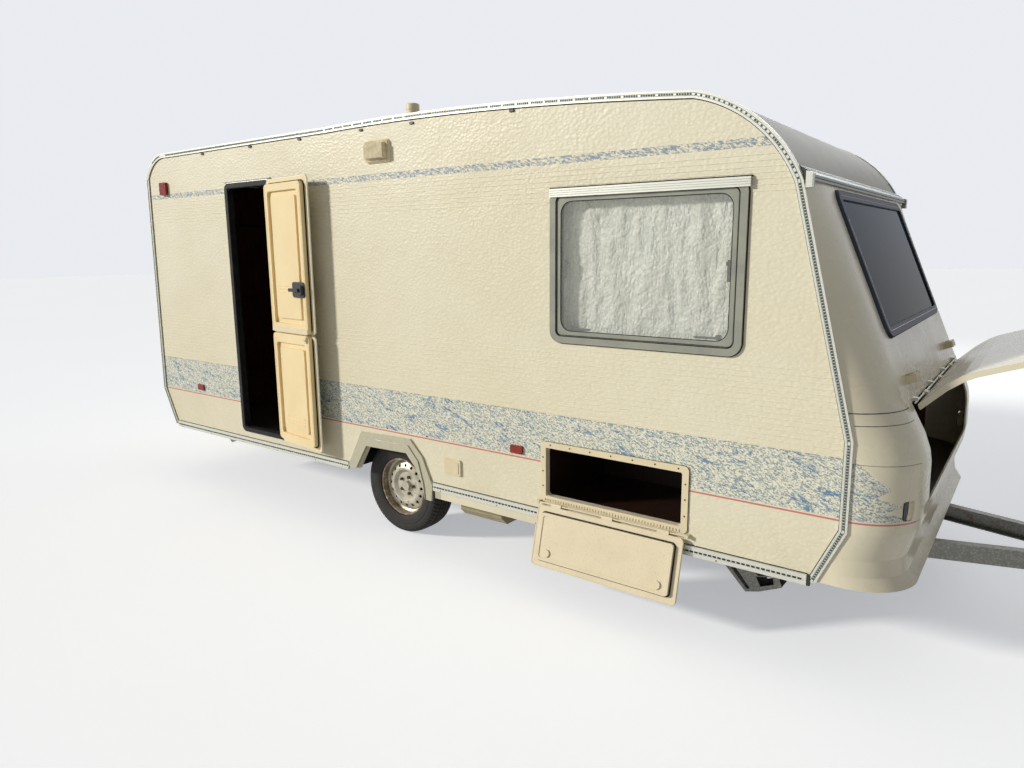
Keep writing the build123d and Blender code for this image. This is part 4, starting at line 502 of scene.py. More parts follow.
def striped(paint, base, height=None, outer=None):
    """Adds the flecked bands and the thin red line on the outer faces of both sides."""
    station = paint.axis("X")
    if outer is None:
        normal = paint.node("ShaderNodeNewGeometry").outputs["True Normal"]
        height = paint.axis("Z")
        outer = paint.above(paint.all(paint.axis("Y"), paint.axis("Y", normal)), 0.25, 0.1)
    low, tall = TIP_HEIGHTS
    start, reach = TIP_STATIONS
    share = paint.sum("DIVIDE", paint.sum("SUBTRACT", height, sz(low)), tall / 1000)
    stops = [((h - low) / tall, (end - start) / reach) for h, end in TIPS]
    end = paint.sum("ADD", paint.sum("MULTIPLY", paint.ramp(share, *stops), reach / 1000), sx(start))
    ragged = paint.all(paint.sum("SUBTRACT", paint.noise(0.02, 3, 0.6, (1, 1, 2)), 0.5), 0.05)
    before = paint.above(paint.sum("ADD", paint.sum("SUBTRACT", end, station), ragged), 0)

    fine = paint.noise(0.0062, 2, 0.6, (0.5, 1, 1.25), 0.5, -26)
    dark = paint.noise(0.0078, 2, 0.6, (0.55, 1, 1.3), 0.5, 22)
    groups = paint.noise(0.050, 3, 0.6, (0.40, 1, 1.5), 0.9, -16)
    strokes = paint.noise(0.0105, 3, 0.65, (0.42, 1, 1.35), 0.7, -20)
    inked = paint.mix(0.6, base, srgb(232, 230, 212))
    inked = paint.over(inked, srgb(112, 142, 156), fine, 0.51, 0.57, 0.85)
    inked = paint.over(inked, srgb(132, 126, 110), dark, 0.56, 0.61, 0.75)
    blue = paint.all(paint.ramp(groups, (0.55, 0.0), (0.61, 1.0)), paint.ramp(strokes, (0.47, 0.0), (0.52, 0.9)))
    inked = paint.mix(blue, inked, srgb(80, 122, 158))
    colour = paint.mix(paint.all(outer, paint.inside(height, *BAND), before), base, inked)

    dashes = paint.ramp(paint.noise(0.016, 1, 0.5, (1, 1, 0.2)), (0.45, 0.0), (0.5, 0.7))
    edge = paint.all(outer, paint.inside(height, BAND[1] - 0.002, BAND[1] + 0.002), before, dashes)
    colour = paint.mix(edge, colour, srgb(92, 104, 118))
    upper = paint.all(outer, paint.inside(height, *UPPER), paint.ramp(strokes, (0.47, 0.0), (0.53, 0.9)))
    colour = paint.mix(upper, colour, srgb(122, 140, 156))
    behind = paint.above(paint.sum("SUBTRACT", RED_LINE_END, station), 0)
    return paint.mix(paint.all(outer, paint.inside(height, *RED_LINE), behind, 0.85), colour, srgb(190, 84, 84))


def inner_wood(paint, outside):
    """Brown boards on the walls' inner faces, and black painted shade in the doorway."""
    normal = paint.node("ShaderNodeNewGeometry").outputs["True Normal"]
    inward = paint.all(paint.axis("Y"), paint.axis("Y", normal), -1.0)
    forward = paint.all(paint.axis("X", normal), paint.rest(paint.ahead(REAR_INSIDE)))
    share = paint.sum("MAXIMUM", paint.above(inward, 0.25, 0.1), paint.above(forward, 0.2, 0.1))
    grain = paint.noise(*WOOD_GRAIN)
    colour = paint.mix(share, outside, paint.ramp(grain, (0.35, DARK_WOOD), (0.65, srgb(100, 60, 36))))
    rear, front, low, high = DOOR
    # Painted shade: the wall's faces in the doorway are black
    doorway_shade = paint.all(
        paint.inside(paint.axis("X"), sx(rear + DOOR_LIP), sx(front - DOOR_LIP)),
        paint.inside(paint.axis("Z"), sz(low + DOOR_LIP), sz(high - DOOR_LIP)),
        paint.rest(paint.above(paint.axis("Y"), -INSIDE)),
    )
    return paint.mix(doorway_shade, colour, BLACK)


def with_painted_glints(paint, base, grain):
    """A base colour with a painted highlight, a pale glint, on each cell of a grain."""
    return paint.mix(paint.ramp(grain, (0.10, 0.4), (0.40, 0.0)), base, HAMMER_GLINT)


def sheet_metal():
    """The walls' hammered sheet, with boards inside."""
    paint = Paint("hammered_cream_sheet", 0.42, Specular_IOR_Level=0.35)
    tone = paint.over(CREAM, srgb(220, 210, 181), paint.noise(0.7, 3), 0.3, 0.7)
    grain = paint.cells(*HAMMERED)
    # Pale glints on the hammered cells are painted highlights
    tone = paint.dirty(with_painted_glints(paint, tone, grain), 0.3, 0.3)
    paint.colour(inner_wood(paint, striped(paint, tone)))
    paint.roughness(paint.ramp(paint.noise(0.15), (0.3, 0.36), (0.7, 0.52)))
    return paint.bump((grain, 0.0018), (paint.noise(0.5, 2), 0.006))


def moulding():
    """Glossy mouldings; the wheel arches are greyer."""
    paint = Paint("gloss_cream_moulding", 0.24)
    tone = paint.over(srgb(226, 218, 192), srgb(220, 211, 184), paint.noise(0.5, 3), 0.3, 0.7)
    arch = paint.all(paint.inside(paint.axis("X"), *ARCH), paint.above(paint.aside(), ARCH_SIDE))
    tone = paint.mix(arch, tone, srgb(189, 184, 160))
    paint.colour(striped(paint, paint.dirty(tone, 0.2, 0.25, -0.35, 0.3)))
    paint.roughness(paint.ramp(paint.noise(0.2, 5), (0.3, 0.22), (0.75, 0.34)))
    return paint.bump((paint.noise(0.5, 2), 0.001))


def plain_gloss(name, colour, rough, grain, dirt=0.3):
    """A cloudy, dirty plastic of one colour."""
    paint = Paint(name, rough)
    tone = paint.over(colour, shade(colour, 0.86), paint.noise(0.25, 4), 0.3, 0.7, 0.5)
    paint.colour(paint.dirty(tone, 0.15, dirt))
    paint.roughness(paint.ramp(paint.noise(0.1, 4), (0.3, rough * 0.85), (0.7, rough * 1.25)))
    return paint.bump((paint.noise(0.004, 2), grain))


def liner():
    """The leaves and the flap: cream with the bands outside, aged beige or speckled cream inside."""
    paint = Paint("aged_liner", 0.36)
    hatch = paint.ahead(FLAP_START)
    away = paint.pick(hatch, paint.on(LEAF, 2), paint.on(FLAP, 2))
    height = paint.pick(hatch, paint.axis("Z"), paint.sum("ADD", paint.on(FLAP, 1), sz(FLAP_HINGE[1])))
    outer = paint.rest(paint.above(away, 0.0008, 0.0004))
    # The outside also gets the painted highlights of the hammered grain
    outside = striped(paint, with_painted_glints(paint, CREAM, paint.cells(*HAMMERED)), height, outer)
    leaf = paint.over(srgb(240, 219, 170), srgb(228, 202, 150), paint.noise(0.3, 4), 0.3, 0.7, 0.6)
    flap = paint.over(srgb(226, 212, 180), srgb(168, 146, 108), paint.noise(0.006, 3, 0.7), 0.60, 0.66, 0.5)
    inside = paint.dirty(paint.mix(hatch, leaf, flap), 0.15, 0.15)
    paint.colour(paint.mix(outer, inside, outside))
    return paint.bump((paint.noise(0.004, 2), 0.0003))


def window_frame():
    """Grey frames; the front window's is navy."""
    paint = Paint("moulded_window_frame", 0.5, Specular_IOR_Level=0.3)
    grey = paint.over(srgb(156, 157, 142), srgb(138, 140, 130), paint.noise(0.12, 4), 0.35, 0.7)
    paint.colour(paint.mix(paint.ahead(NOSE_START), grey, srgb(17, 24, 42)))
    return paint.bump((paint.noise(0.003, 2), 0.0002))


def roof_sheet():
    """Pale hammered sheet with blotches of dirt."""
    paint = Paint("pale_roof_sheet", 0.55, Specular_IOR_Level=0.3)
    tone = paint.over(srgb(200, 198, 186), srgb(180, 178, 168), paint.noise(0.5, 5), 0.35, 0.7)
    paint.colour(paint.over(tone, DIRT, paint.noise(0.12, 7, 0.7), 0.58, 0.75, 0.4))
    return paint.bump((paint.cells(0.014, (1, 1, 1), "SMOOTH_F1"), 0.0008))


def aluminium():
    """Satin aluminium in fine lines; the brow rail is painted a darker grey, as shade."""
    rough, colour = 0.38, srgb(222, 222, 210)
    paint = Paint("satin_aluminium", rough, 0.35)
    lines = paint.noise(0.004, 4, 0.6, (0.05, 1, 1))
    middle = paint.rest(paint.above(paint.aside(), RAIL_SIDE))
    # Painted shade: the brow rail over the front window is darkened to grey
    brow_shade = paint.all(paint.ahead(NOSE_START), paint.above(paint.axis("Z"), BROW_FOOT), middle)
    paint.colour(paint.mix(brow_shade, paint.over(colour, shade(colour, 0.78), lines, 0.3, 0.7), srgb(128, 134, 128)))
    paint.roughness(paint.ramp(lines, (0.3, rough * 0.8), (0.7, rough * 1.35)))
    return paint.bump((lines, 0.0002))


def galvanised():
    """Spangled zinc, rusting in patches."""
    paint = Paint("galvanised_steel", 0.48, 0.6)
    tone = paint.over(srgb(148, 148, 140), srgb(122, 122, 116), paint.cells(0.012), 0.1, 0.6)
    paint.colour(paint.over(tone, srgb(112, 74, 48), paint.noise(0.08, 7, 0.7), 0.56, 0.70, 0.8))
    return paint.bump((paint.noise(0.01, 5), 0.0006))


def rusty_iron():
    """Cast iron under brown rust."""
    paint = Paint("rusty_cast_iron", 0.75, 0.3)
    patches = paint.noise(0.05, 8, 0.7)
    paint.colour(paint.ramp(patches, (0.3, srgb(44, 40, 38)), (0.5, srgb(86, 58, 42)), (0.75, srgb(128, 78, 46))))
    return paint.bump((patches, 0.002))


def wheel_paint():
    """Silver rims with rust at the edge and in patches, and dark bolts."""
    paint = Paint("silver_rim_paint", 0.38, 0.25)
    flat = paint.sum("MULTIPLY", paint.place, (1, 0, 1), "ShaderNodeVectorMath", "Vector")
    middle = (sx(WHEEL[0]), 0, sz(WHEEL[1]))
    radius = paint.sum("DISTANCE", flat, middle, "ShaderNodeVectorMath", "Value")
    colour = paint.over(srgb(202, 197, 180), srgb(172, 165, 144), paint.noise(0.05, 5), 0.4, 0.7)
    colour = paint.over(colour, srgb(132, 92, 56), paint.noise(0.022, 7, 0.75), 0.55, 0.66, 0.85)
    edge = paint.ramp(paint.noise(0.03, 5, 0.7), (0.36, 0.0), (0.52, 0.9))
    colour = paint.mix(paint.all(edge, paint.above(radius, RIM_EDGE, 0.006)), colour, srgb(112, 78, 50))
    bolts = paint.all(paint.above(paint.aside(), BOLT_SIDE, 0.0003), paint.inside(radius, *BOLT_RING))
    paint.colour(paint.mix(bolts, colour, srgb(52, 44, 36)))
    return paint.bump((paint.noise(0.008, 4), 0.0004))


def tyre_rubber():
    """Worn and dusty tyre rubber."""
    paint = Paint("worn_tyre_rubber", 0.8)
    paint.colour(paint.over(srgb(27, 25, 23), srgb(86, 74, 54), paint.noise(0.06, 7, 0.7), 0.48, 0.78, 0.3))
    return paint.bump((paint.noise(0.003, 3), 0.0004))


def rubber(name="black_rubber", colour=BLACK):
    """Rubber that is faded in patches."""
    paint = Paint(name, 0.65, Specular_IOR_Level=0.25)
    paint.colour(paint.over(colour, srgb(78, 74, 68), paint.noise(0.06, 5), 0.45, 0.8, 0.25))
    return paint.bump((paint.noise(0.004, 3), 0.0003))


def wood(name="brown_wood", dark=DARK_WOOD, light=srgb(106, 62, 36)):
    """Boards, with painted shade making them darker in the seat box and the lockers."""
    paint = Paint(name, 0.42)
    grain = paint.noise(*WOOD_GRAIN)
    boards = paint.over(dark, light, grain, 0.35, 0.65)
    # Painted shade: boards ahead of the seat box station are darkened towards black
    paint.colour(paint.mix(paint.all(paint.ahead(LOCKER_SHADE_START), 0.75), boards, srgb(14, 11, 9)))
    return paint.bump((grain, 0.0004))


def foil():
    """Crinkled silver foil of the thermal blinds, with painted shade in its crinkles and folds."""
    paint = Paint("crinkled_foil", 0.4)
    crinkle_and_shade = paint.cells(0.012, (1, 1, 0.8), "SMOOTH_F1")
    folds_and_shade = paint.noise(0.07, 5, 0.65, (1, 1, 0.2), 0.5)
    # Painted shade: the foil darkens between its crinkles and along its folds
    tone = paint.over(srgb(250, 250, 238), srgb(224, 226, 214), crinkle_and_shade, 0.05, 0.55)
    paint.colour(paint.over(tone, srgb(172, 172, 158), folds_and_shade, 0.47, 0.64, 0.5))
    return paint.bump((crinkle_and_shade, 0.005), (folds_and_shade, 0.02))


def acrylic():
    """Clear acrylic; the front pane is dark, with a painted sky reflection in blue above."""
    paint = Paint("clear_acrylic", 0.05, IOR=1.05)
    haze = paint.ramp(paint.noise(0.3, 3), (0.4, srgb(214, 218, 212)), (0.8, srgb(190, 188, 176)))
    front = paint.ahead(NOSE_START)
    # The blue on the front pane's upper part is a painted sky reflection
    front_tint_and_sky_reflection = paint.mix(paint.above(paint.axis("Z"), SKY_REFLECTION_FOOT, 0.3), srgb(30, 33, 26), srgb(52, 74, 100))
    paint.colour(paint.mix(front, haze, front_tint_and_sky_reflection))
    paint.put(paint.sum("ADD", paint.all(front, 0.78), 0.16), paint.shader.inputs["Alpha"])
    paint.roughness(paint.ramp(paint.noise(0.12, 5), (0.4, 0.04), (0.8, 0.1)))
    return paint.mat


def lens(name, colour, rough=0.16):
    """A ribbed lens; the front lamps' recess is painted dark, as shade."""
    paint = Paint(name, rough, Transmission_Weight=0.12, IOR=1.45)
    ribs = paint.node("ShaderNodeTexWave", bands_direction="X")
    ribs.inputs["Scale"].default_value = 60
    paint.put(paint.place, ribs.inputs["Vector"])
    tone = paint.over(colour, shade(colour, 0.65), paint.noise(0.03, 4), 0.3, 0.7)
    # Painted shade: the lens darkens in the front lamps' recess
    recess_shade = paint.all(paint.ahead(FRONT_LAMPS), paint.above(paint.aside(), RECESS_SIDE))
    paint.colour(paint.mix(recess_shade, tone, srgb(26, 22, 18)))
    return paint.bump((ribs.outputs["Fac"], 0.0008))


def rear_lens():
    """Rear lamps: amber, red and clear fields from the top, with dark bars between."""
    paint = Paint("rear_lamp_lens", 0.16, Transmission_Weight=0.1)
    height = paint.axis("Z")
    low, high = LAMP_BARS
    colour = paint.mix(paint.above(height, sz(high)), RED, srgb(190, 92, 24))
    colour = paint.mix(paint.above(height, sz(low)), srgb(206, 204, 196), colour)
    bars = [paint.inside(height, sz(bar - HALF_BAR), sz(bar + HALF_BAR)) for bar in (high, low)]
    paint.colour(paint.mix(paint.sum("MAXIMUM", *bars), colour, srgb(24, 22, 22)))
    return paint.bump((paint.cells(0.008), 0.0008))


# Every material by the name of its slot in the record
materials = {
    "shell_cream": sheet_metal(),
    "moulding_cream": moulding(),
    "roof_white": roof_sheet(),
    "trim_aluminium": aluminium(),
    "frame_grey": window_frame(),
    "pane_acrylic": acrylic(),
    "blind_silver": foil(),
    "gasket_black": rubber(),
    "plastic_black": plain_gloss("black_plastic", srgb(24, 24, 26), 0.4, 0.0003),
    "door_beige": liner(),
    "wood_brown": wood(),
    "floor_grey": wood("floor_board", srgb(78, 70, 60), srgb(104, 96, 84)),
    "lamp_amber": lens("amber_lens", srgb(160, 34, 2)),
    "lamp_red": rear_lens(),
    "lamp_clear": lens("clear_lens", srgb(244, 228, 188), 0.2),
    "plastic_cream": plain_gloss("cream_plastic", srgb(228, 213, 178), 0.42, 0.0003),
    "steel_galvanised": galvanised(),
    "cast_iron": rusty_iron(),
    "rim_silver": wheel_paint(),
    "tyre_rubber": tyre_rubber(),
    "tank_white": plain_gloss("aged_tank", srgb(164, 152, 116), 0.5, 0.0004, 0.5),
}
for part in frame["record"]["subparts"]:
    shown = nodes[part["node"]]
    shown.data.materials.clear()
    shown.data.materials.append(materials[part["material_slot"]])
# Finishes of single pieces
# The keder insert's dark grey is partly its rubber and partly painted shade of the rail's groove
materials["keder_insert_and_groove_shade"] = rubber("keder_rubber_and_groove_shade", srgb(70, 84, 78))
materials["reflector_red"] = lens("red_reflector", RED)


# Body trim

RAIL_PROUD = 10
TRIM_PROUD = 12
TRIM_RUNS = ((185, 2259), (3006, 5138))
TRIM_MIDDLE = 400
RIB = ((-2.7, -0.3), (-1.6, 1.4), (0, 1.9), (1.6, 1.4), (2.7, -0.3))
RIB_HEIGHTS = (*range(956, 1310, 24), *range(2010, 2175, 24))
RAIL_GAP, RIB_GAP, SHORTEST_RIB = 34, 12, 20
CLIPS = ((846, 2474), (1422, 2475), (1944, 2475), (2511, 2475), (2920, 2472), (3606, 2460))
ARCH_SCREWS = ((2300, 700), (2631, 702), (2960, 699))
INTERRUPTIONS = {-1: (*WINDOWS[-1], DOOR, REAR_MARKER), 1: (*WINDOWS[1], *VENTS)}


def keder_inserts():
    """The dark toothed insert, partly rubber and partly painted shade of the groove, and the black joint line of both
    keder rails.
    """
    teeth, joint, lines = Shape(), Shape(), Shape()
    middle, inner, outer = inset_profile(10), inset_profile(29.5), inset_profile(26)
    edges = [(inset_profile(inset), inset_profile(inset + 1.4)) for inset in (3.6, 15.0)]
    low, high = RAIL_PROUD - 0.5, RAIL_PROUD + 0.5
    for wall in WALLS.values():
        for start, end in along(middle, 12, 9.4):
            across = (end - start).normalized().orthogonal() * 4
            base = [start - across, start + across, end + across, end - across]
            top = [point.lerp((start + end) / 2, 0.12) for point in base]
            teeth.skin([[wall.at(*p, low) for p in base], [wall.at(*p, RAIL_PROUD + 1.2) for p in top]])
        joint.skin([
            [wall.at(*a, -0.5), wall.at(*a, 1.6), wall.at(*b, 1.6), wall.at(*b, -0.5)]
            for a, b in zip(outer, inner)
        ])
        for pair in edges:
            lines.skin([[wall.at(*a, low), wall.at(*a, high), wall.at(*b, high)] for a, b in zip(*pair)])
    teeth.piece("keder_inserts", "plastic_black", finish="keder_insert_and_groove_shade")
    joint.piece("keder_joint_lines", "gasket_black")
    lines.piece("keder_edges", "gasket_black")


def sill_inserts():
    """The toothed insert in the sill trims' groove, with a black line above each trim."""
    teeth, joint, caps = Shape(), Shape(), Shape()
    for wall in WALLS.values():
        for start, end in TRIM_RUNS:
            for rear in range(start + 6, end - 20, 22):
                centre = (rear + 7.5, TRIM_MIDDLE)
                teeth.plate(wall, centre, (15, 8), 1.5, TRIM_PROUD - 4.2, TRIM_PROUD - 1.2, 0.8)
            joint.bar(wall, start, end, TRIM_MIDDLE + 24, ((0, -0.5), (0, 2.2), (3, 2.2), (3.5, -0.5)))
        caps.plate(wall, (TRIM_RUNS[-1][1] + 8, TRIM_MIDDLE), (16, 50), 5, 0, TRIM_PROUD + 1.5, 2)
    teeth.piece("sill_inserts", "plastic_black")
    joint.piece("sill_joint_lines", "gasket_black")
    caps.piece("sill_end_caps", "plastic_black")


def wall_ribs():
    """Level ribs pressed into both walls, broken by the windows, the door and the vents."""
    for side, wall in WALLS.items():
        ribs = Shape()
        for height in RIB_HEIGHTS:
            rear, front = wall_ends(height)
            holes = [
                (a - RIB_GAP, b + RIB_GAP) for a, b, low, high in INTERRUPTIONS[side]
                if low - RIB_GAP < height < high + RIB_GAP
            ]
            start = rear + RAIL_GAP
            for a, b in sorted(holes) + [(front - RAIL_GAP, 0)]:
                if a - start > SHORTEST_RIB:
                    ribs.bar(wall, start, a, height, RIB)
                start = b
        ribs.piece("wall_ribs_" + SIDES[side], "shell_cream")


def clips_and_screws():
    """The awning rail's clips, and the arches' and sills' screws."""
    clips, screws = Shape(), Shape()
    for wall in WALLS.values():
        for spot in CLIPS:
            clips.plate(wall, spot, (30, 13), 4, -0.5, 8, 2)
        for spot in ARCH_SCREWS:
            screws.stud(wall, spot, 5, -0.5, 3)
        for start, end in TRIM_RUNS:
            for station in range(start + 60, end, 420):
                screws.stud(wall, (station, TRIM_MIDDLE - 16), 3.6, TRIM_PROUD - 0.4, TRIM_PROUD + 1.4)
    clips.plate(WALLS[-1], (4946, 2158), (12, 26), 4, -0.5, 8, 2)
    clips.piece("awning_clips", "plastic_black")
    screws.piece("wall_screws", "cast_iron")


def middle_and_size(opening):
    """An opening's middle and size."""
    rear, front, low, high = opening
    return ((rear + front) / 2, (low + high) / 2), (front - rear, high - low)


# Windows

# A pane is smaller than its frame by one width, and its clear part by another
FRAME_WIDTH, FRAME_RADIUS = 76, 60
BORDER_WIDTH, BORDER_RADIUS = 44, 58
PANE_RADIUS = 26
REAR_PLACE, REAR_SIZE = (0, 1020), (1150, 640)
FRONT_PLACE, FRONT_SIZE = (0, 130), (1500, 663)
GRID = 11
BLIND_DEPTH = 55


def less(size, margin):
    """A size less a margin both ways."""
    return size[0] - margin, size[1] - margin


def blind(name, face, centre, size, seed):
    """A foil blind: a grid with gathers and creases, held along all its edges."""
    columns, rows = (max(int(side / GRID), 8) for side in size)
    shape = Shape()
    for row in range(rows + 1):
        for column in range(columns + 1):
            u, v = column / columns, row / rows
            x, y = u * size[0], v * size[1]
            held = min(1.0, 9 * min(u, 1 - u), 9 * min(v, 1 - v))
            spot, fine = Vector((x, y * 0.35, seed * 37.0)), Vector((x, y, seed))
            depth = 9 * noise.noise(spot / 46) + 5 * noise.noise(fine / 24)
            depth += 3.5 * math.sin(x / 21 + 2 * noise.noise(spot / 120)) + 2.2 * noise.noise(fine / 11)
            out = held * depth - BLIND_DEPTH
            shape.verts.append(face.at(centre[0] + x - size[0] / 2, centre[1] + y - size[1] / 2, out))
    for row in range(rows):
        for column in range(columns):
            first = row * (columns + 1) + column
            shape.faces.append((first, first + 1, first + columns + 2, first + columns + 1))
    made = shape.piece(name, "blind_silver", crease=60)
    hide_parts("window_blinds")


def window(name, face, centre, size, seed):
    """One side or rear window, with its blind."""
    seals, border, catches = Shape(), Shape(), Shape()
    pane = less(size, FRAME_WIDTH)
    clear = less(pane, BORDER_WIDTH)
    seals.ring(face, centre, size, FRAME_RADIUS, ((-1, -0.5), (5, -0.5), (4, 4), (-1, 6)))
    seals.ring(face, centre, pane, PANE_RADIUS, ((-1, 5.8), (4, 8), (5, 15), (2, 15.6), (-3, 8)))
    seals.ring(face, centre, clear, BORDER_RADIUS, ((-3, 5.9), (-3, 7.4), (0.5, 8.2), (0.5, 5.9)))
    seals.piece(name + "_seals", "gasket_black")
    outer, inner = rounded_loop(pane, PANE_RADIUS), rounded_loop(clear, BORDER_RADIUS)
    border.skin([
        [face.at(centre[0] + u, centre[1] + v, out) for u, v in loop]
        for loop, out in ((outer, 5.9), (outer, 7.8), (inner, 7.8), (inner, 5.9))
    ], along=True)
    border.piece(name + "_border", "frame_grey")
    reveal = Shape().ring(face, centre, pane, PANE_RADIUS, ((-2, 1.8), (-2, -56), (2.5, -56), (2.5, 1.8)))
    reveal.piece(name + "_reveal", "plastic_black")
    blind(name + "_blind", face, centre, less(pane, 6), seed)
    foot = centre[1] - pane[1] / 2
    for side in (-1, 1):
        u = centre[0] + side * (pane[0] / 2 - 36)
        catches.plate(face, (u, centre[1] - 10), (16, 92), 6, -16, -3, 3)
        catches.plate(face, (u, centre[1] + 20), (26, 22), 8, -22, -1, 3)
        catches.plate(face, (centre[0] + side * pane[0] * 0.36, foot + 34), (pane[0] * 0.13, 9), 4, -16, -4, 2)
        catches.plate(face, (centre[0] + side * pane[0] * 0.42, foot + 38), (24, 22), 6, -20, -2, 3)
    catches.piece(name + "_catches", "plastic_black")


def windows():
    """Every window, with the line at each rail and the front window's gasket and bead."""
    seed = 1
    for side, wall in WALLS.items():
        for opening in WINDOWS[side]:
            rear, front, _, top = opening
            name = f"window_{SIDES[side]}_{seed}"
            window(name, wall, *middle_and_size(opening), seed)
            line = Shape().bar(wall, rear - 2, front + 11, top, ((0, -0.5), (0, 13), (3, 14), (6, 9), (6, -0.5)))
            line.piece(name + "_top_line", "gasket_black")
            seed += 1
    window("window_rear", REAR, REAR_PLACE, REAR_SIZE, seed)
    board = Shape().plate(REAR, REAR_PLACE, less(REAR_SIZE, 50), 20, -78, -76, 0.5)
    board.piece("rear_blind_board", "wood_brown")
    gasket = ((-4, 9), (-1, 14.5), (5, 14.5), (10, 8), (12, -0.5), (0, -0.5), (-4, 0))
    bead = ((-22, 13), (-22, 15), (-20, 15), (-20, 13))
    reveal = ((-2, 1), (-2, -46), (2.5, -46), (2.5, 1))
    pane = less(FRONT_SIZE, FRAME_WIDTH)
    for name, slot, size, radius, section in (
        ("gasket", "frame_grey", FRONT_SIZE, FRAME_RADIUS, gasket),
        ("bead", "trim_aluminium", FRONT_SIZE, FRAME_RADIUS, bead),
        ("reveal", "plastic_black", pane, PANE_RADIUS, reveal),
    ):
        Shape().ring(NOSE, FRONT_PLACE, size, radius, section).piece("window_front_" + name, slot)


# Door and hatch

DOOR_RADIUS, HATCH_RADIUS, LEAF_RADIUS = 45, 22, 30
# Body, lowest and highest height of each leaf, then of its raised core
LEAVES = (("door_upper", 1253, 2246, 1269, 2212), ("door_lower", 476, 1247, 510, 1231))
LEAF_ACROSS = (12, 508)
LEAF_CORE = (28, 472)
LEAF_THICK = 37.5
LATCH = (394, 1540)
LEAF_EDGE = ((-4, 7.9), (-4, 9.2), (0.6, 9.2), (1.6, 7.5), (1.6, 0.2), (0, 0))
FLAP_EDGE = ((-5, 7.8), (-5, 9.4), (0.6, 9.4), (1.8, 7.6), (1.8, 0.2), (0, 0))
LEAF_SEAL = ((-1, 8), (10, 8), (10, 10.5), (6, 12.6), (-1, 12.6))
LEAF_BEAD = ((-13.5, LEAF_THICK), (-9, LEAF_THICK), (-9.6, LEAF_THICK + 1.4), (-12.9, LEAF_THICK + 1.4))


def door_trim():
    """The trim of the doorway and its two leaves."""
    wall = WALLS[-1]
    rear, front, _, top = DOOR
    centre, size = middle_and_size(DOOR)
    outline = Shape().ring(wall, centre, size, DOOR_RADIUS, ((0, -0.5), (6, -0.5), (5, 5), (0, 7)))
    outline.bar(wall, rear - 8, front + 8, top + 7, ((0, -0.5), (0, 10), (3, 12), (7, 9), (8, -0.5)))
    outline.piece("door_outline", "trim_aluminium")
    lining = Shape().ring(wall, centre, less(size, 64), 13, ((-2, 8), (-2, -40), (2, -40), (2, 8)))
    lining.piece("doorway_lining", "gasket_black")
    for body, low, high, core_low, core_high in LEAVES:
        whole, core = middle_and_size((*LEAF_ACROSS, low, high)), middle_and_size((*LEAF_CORE, core_low, core_high))
        Shape().ring(LEAF, *whole, LEAF_RADIUS, LEAF_EDGE).piece(body + "_edge", "trim_aluminium", body)
        Shape().ring(LEAF, *core, LEAF_RADIUS, LEAF_SEAL).piece(body + "_seal", "gasket_black", body)
        Shape().ring(LEAF, *core, LEAF_RADIUS, LEAF_BEAD).piece(body + "_bead", "door_beige", body)
    strip = Shape().plate(LEAF, (250, 1274), (440, 34), 5, LEAF_THICK, 41, 1.5)
    strip.bar(LEAF, 34, 466, 1284, ((0, LEAF_THICK), (0, 42), (5, 42), (5, LEAF_THICK)))
    strip.piece("door_split_strip", "plastic_cream", "door_upper")
    catch = Shape().plate(LEAF, (444, 1222), (30, 40), 6, 37, 49, 3)
    catch.plate(LEAF, (436, 1222), (40, 13), 5, 46, 56, 3)
    catch.piece("door_split_catch", "plastic_cream", "door_lower")
    latch = Shape().plate(LEAF, LATCH, (146, 100), 18, LEAF_THICK, 45, 3)
    for up in (38, -38):
        latch.stud(LEAF, (LATCH[0] + 2, LATCH[1] + up), 4, 43, 46)
    latch.piece("latch_plate", "plastic_black", "door_upper")
    screws = Shape()
    for height in (1400, 1700, 2000):
        screws.stud(LEAF, (19, height), 3, 9, 11)
    screws.piece("leaf_screws", "steel_galvanised", "door_upper")


def hatch_trim():
    """The trim of the hatch and its flap."""
    wall = WALLS[-1]
    section = ((-0.5, -0.5), (1.6, -0.5), (1.2, 2), (-0.5, 3))
    Shape().ring(wall, *middle_and_size(HATCH), HATCH_RADIUS, section).piece("hatch_seal", "gasket_black")
    teeth, screws = Shape(), Shape()
    for station in range(3806, 4574, 16):
        teeth.plate(wall, (station, 487), (9, 14), 2, 7.6, 11.6, 1)
    teeth.piece("hatch_hinge_teeth", "plastic_cream")
    spots = [(station, 785) for station in range(3840, 4560, 118)]
    spots += [(station, height) for height in (560, 640, 715) for station in (3795, 4584)]
    for spot in spots:
        screws.stud(wall, spot, 4.2, 7.6, 10.4)
    screws.piece("hatch_screws", "cast_iron")
    Shape().ring(FLAP, (0, 169), (811, 314), 20, FLAP_EDGE).piece("flap_edge", "plastic_cream", "hatch_flap")
    gasket = Shape().ring(FLAP, (0, 167.5), (739, 245), 16, ((-1, 8), (7, 8), (7, 11), (4, 12.6), (-1, 12.6)))
    gasket.piece("flap_seal", "gasket_black", "hatch_flap")


# Nose, lamps and small fittings

CORNER_START, CORNER_WIDTH = 850, 250
# The nose's front and side station, height, half width, how proud, and the path's points beside the lid
JOINT_LINES = ((5424, 5244, 1134, 2.2, 1.4, 11), (5446, 5252, 1085, 1.6, 1.0, 11))
FINE_LINES = ((5513, 5274, 930, 0.8, 1.2, 9),)
# Station, height, and the direction out of the rail, ahead and up
BROW_LINES = ((5052, 2055, 0, 1), (5024, 2085.3, -0.83, 0.555), (5010, 2094.7, -0.83, 0.555))
ARCH_STEP = ((2935, 405), (2895, 540), (2815, 625), (2422, 612), (2300, 405))
ARCH_MIDDLE = Vector((2620, 450))


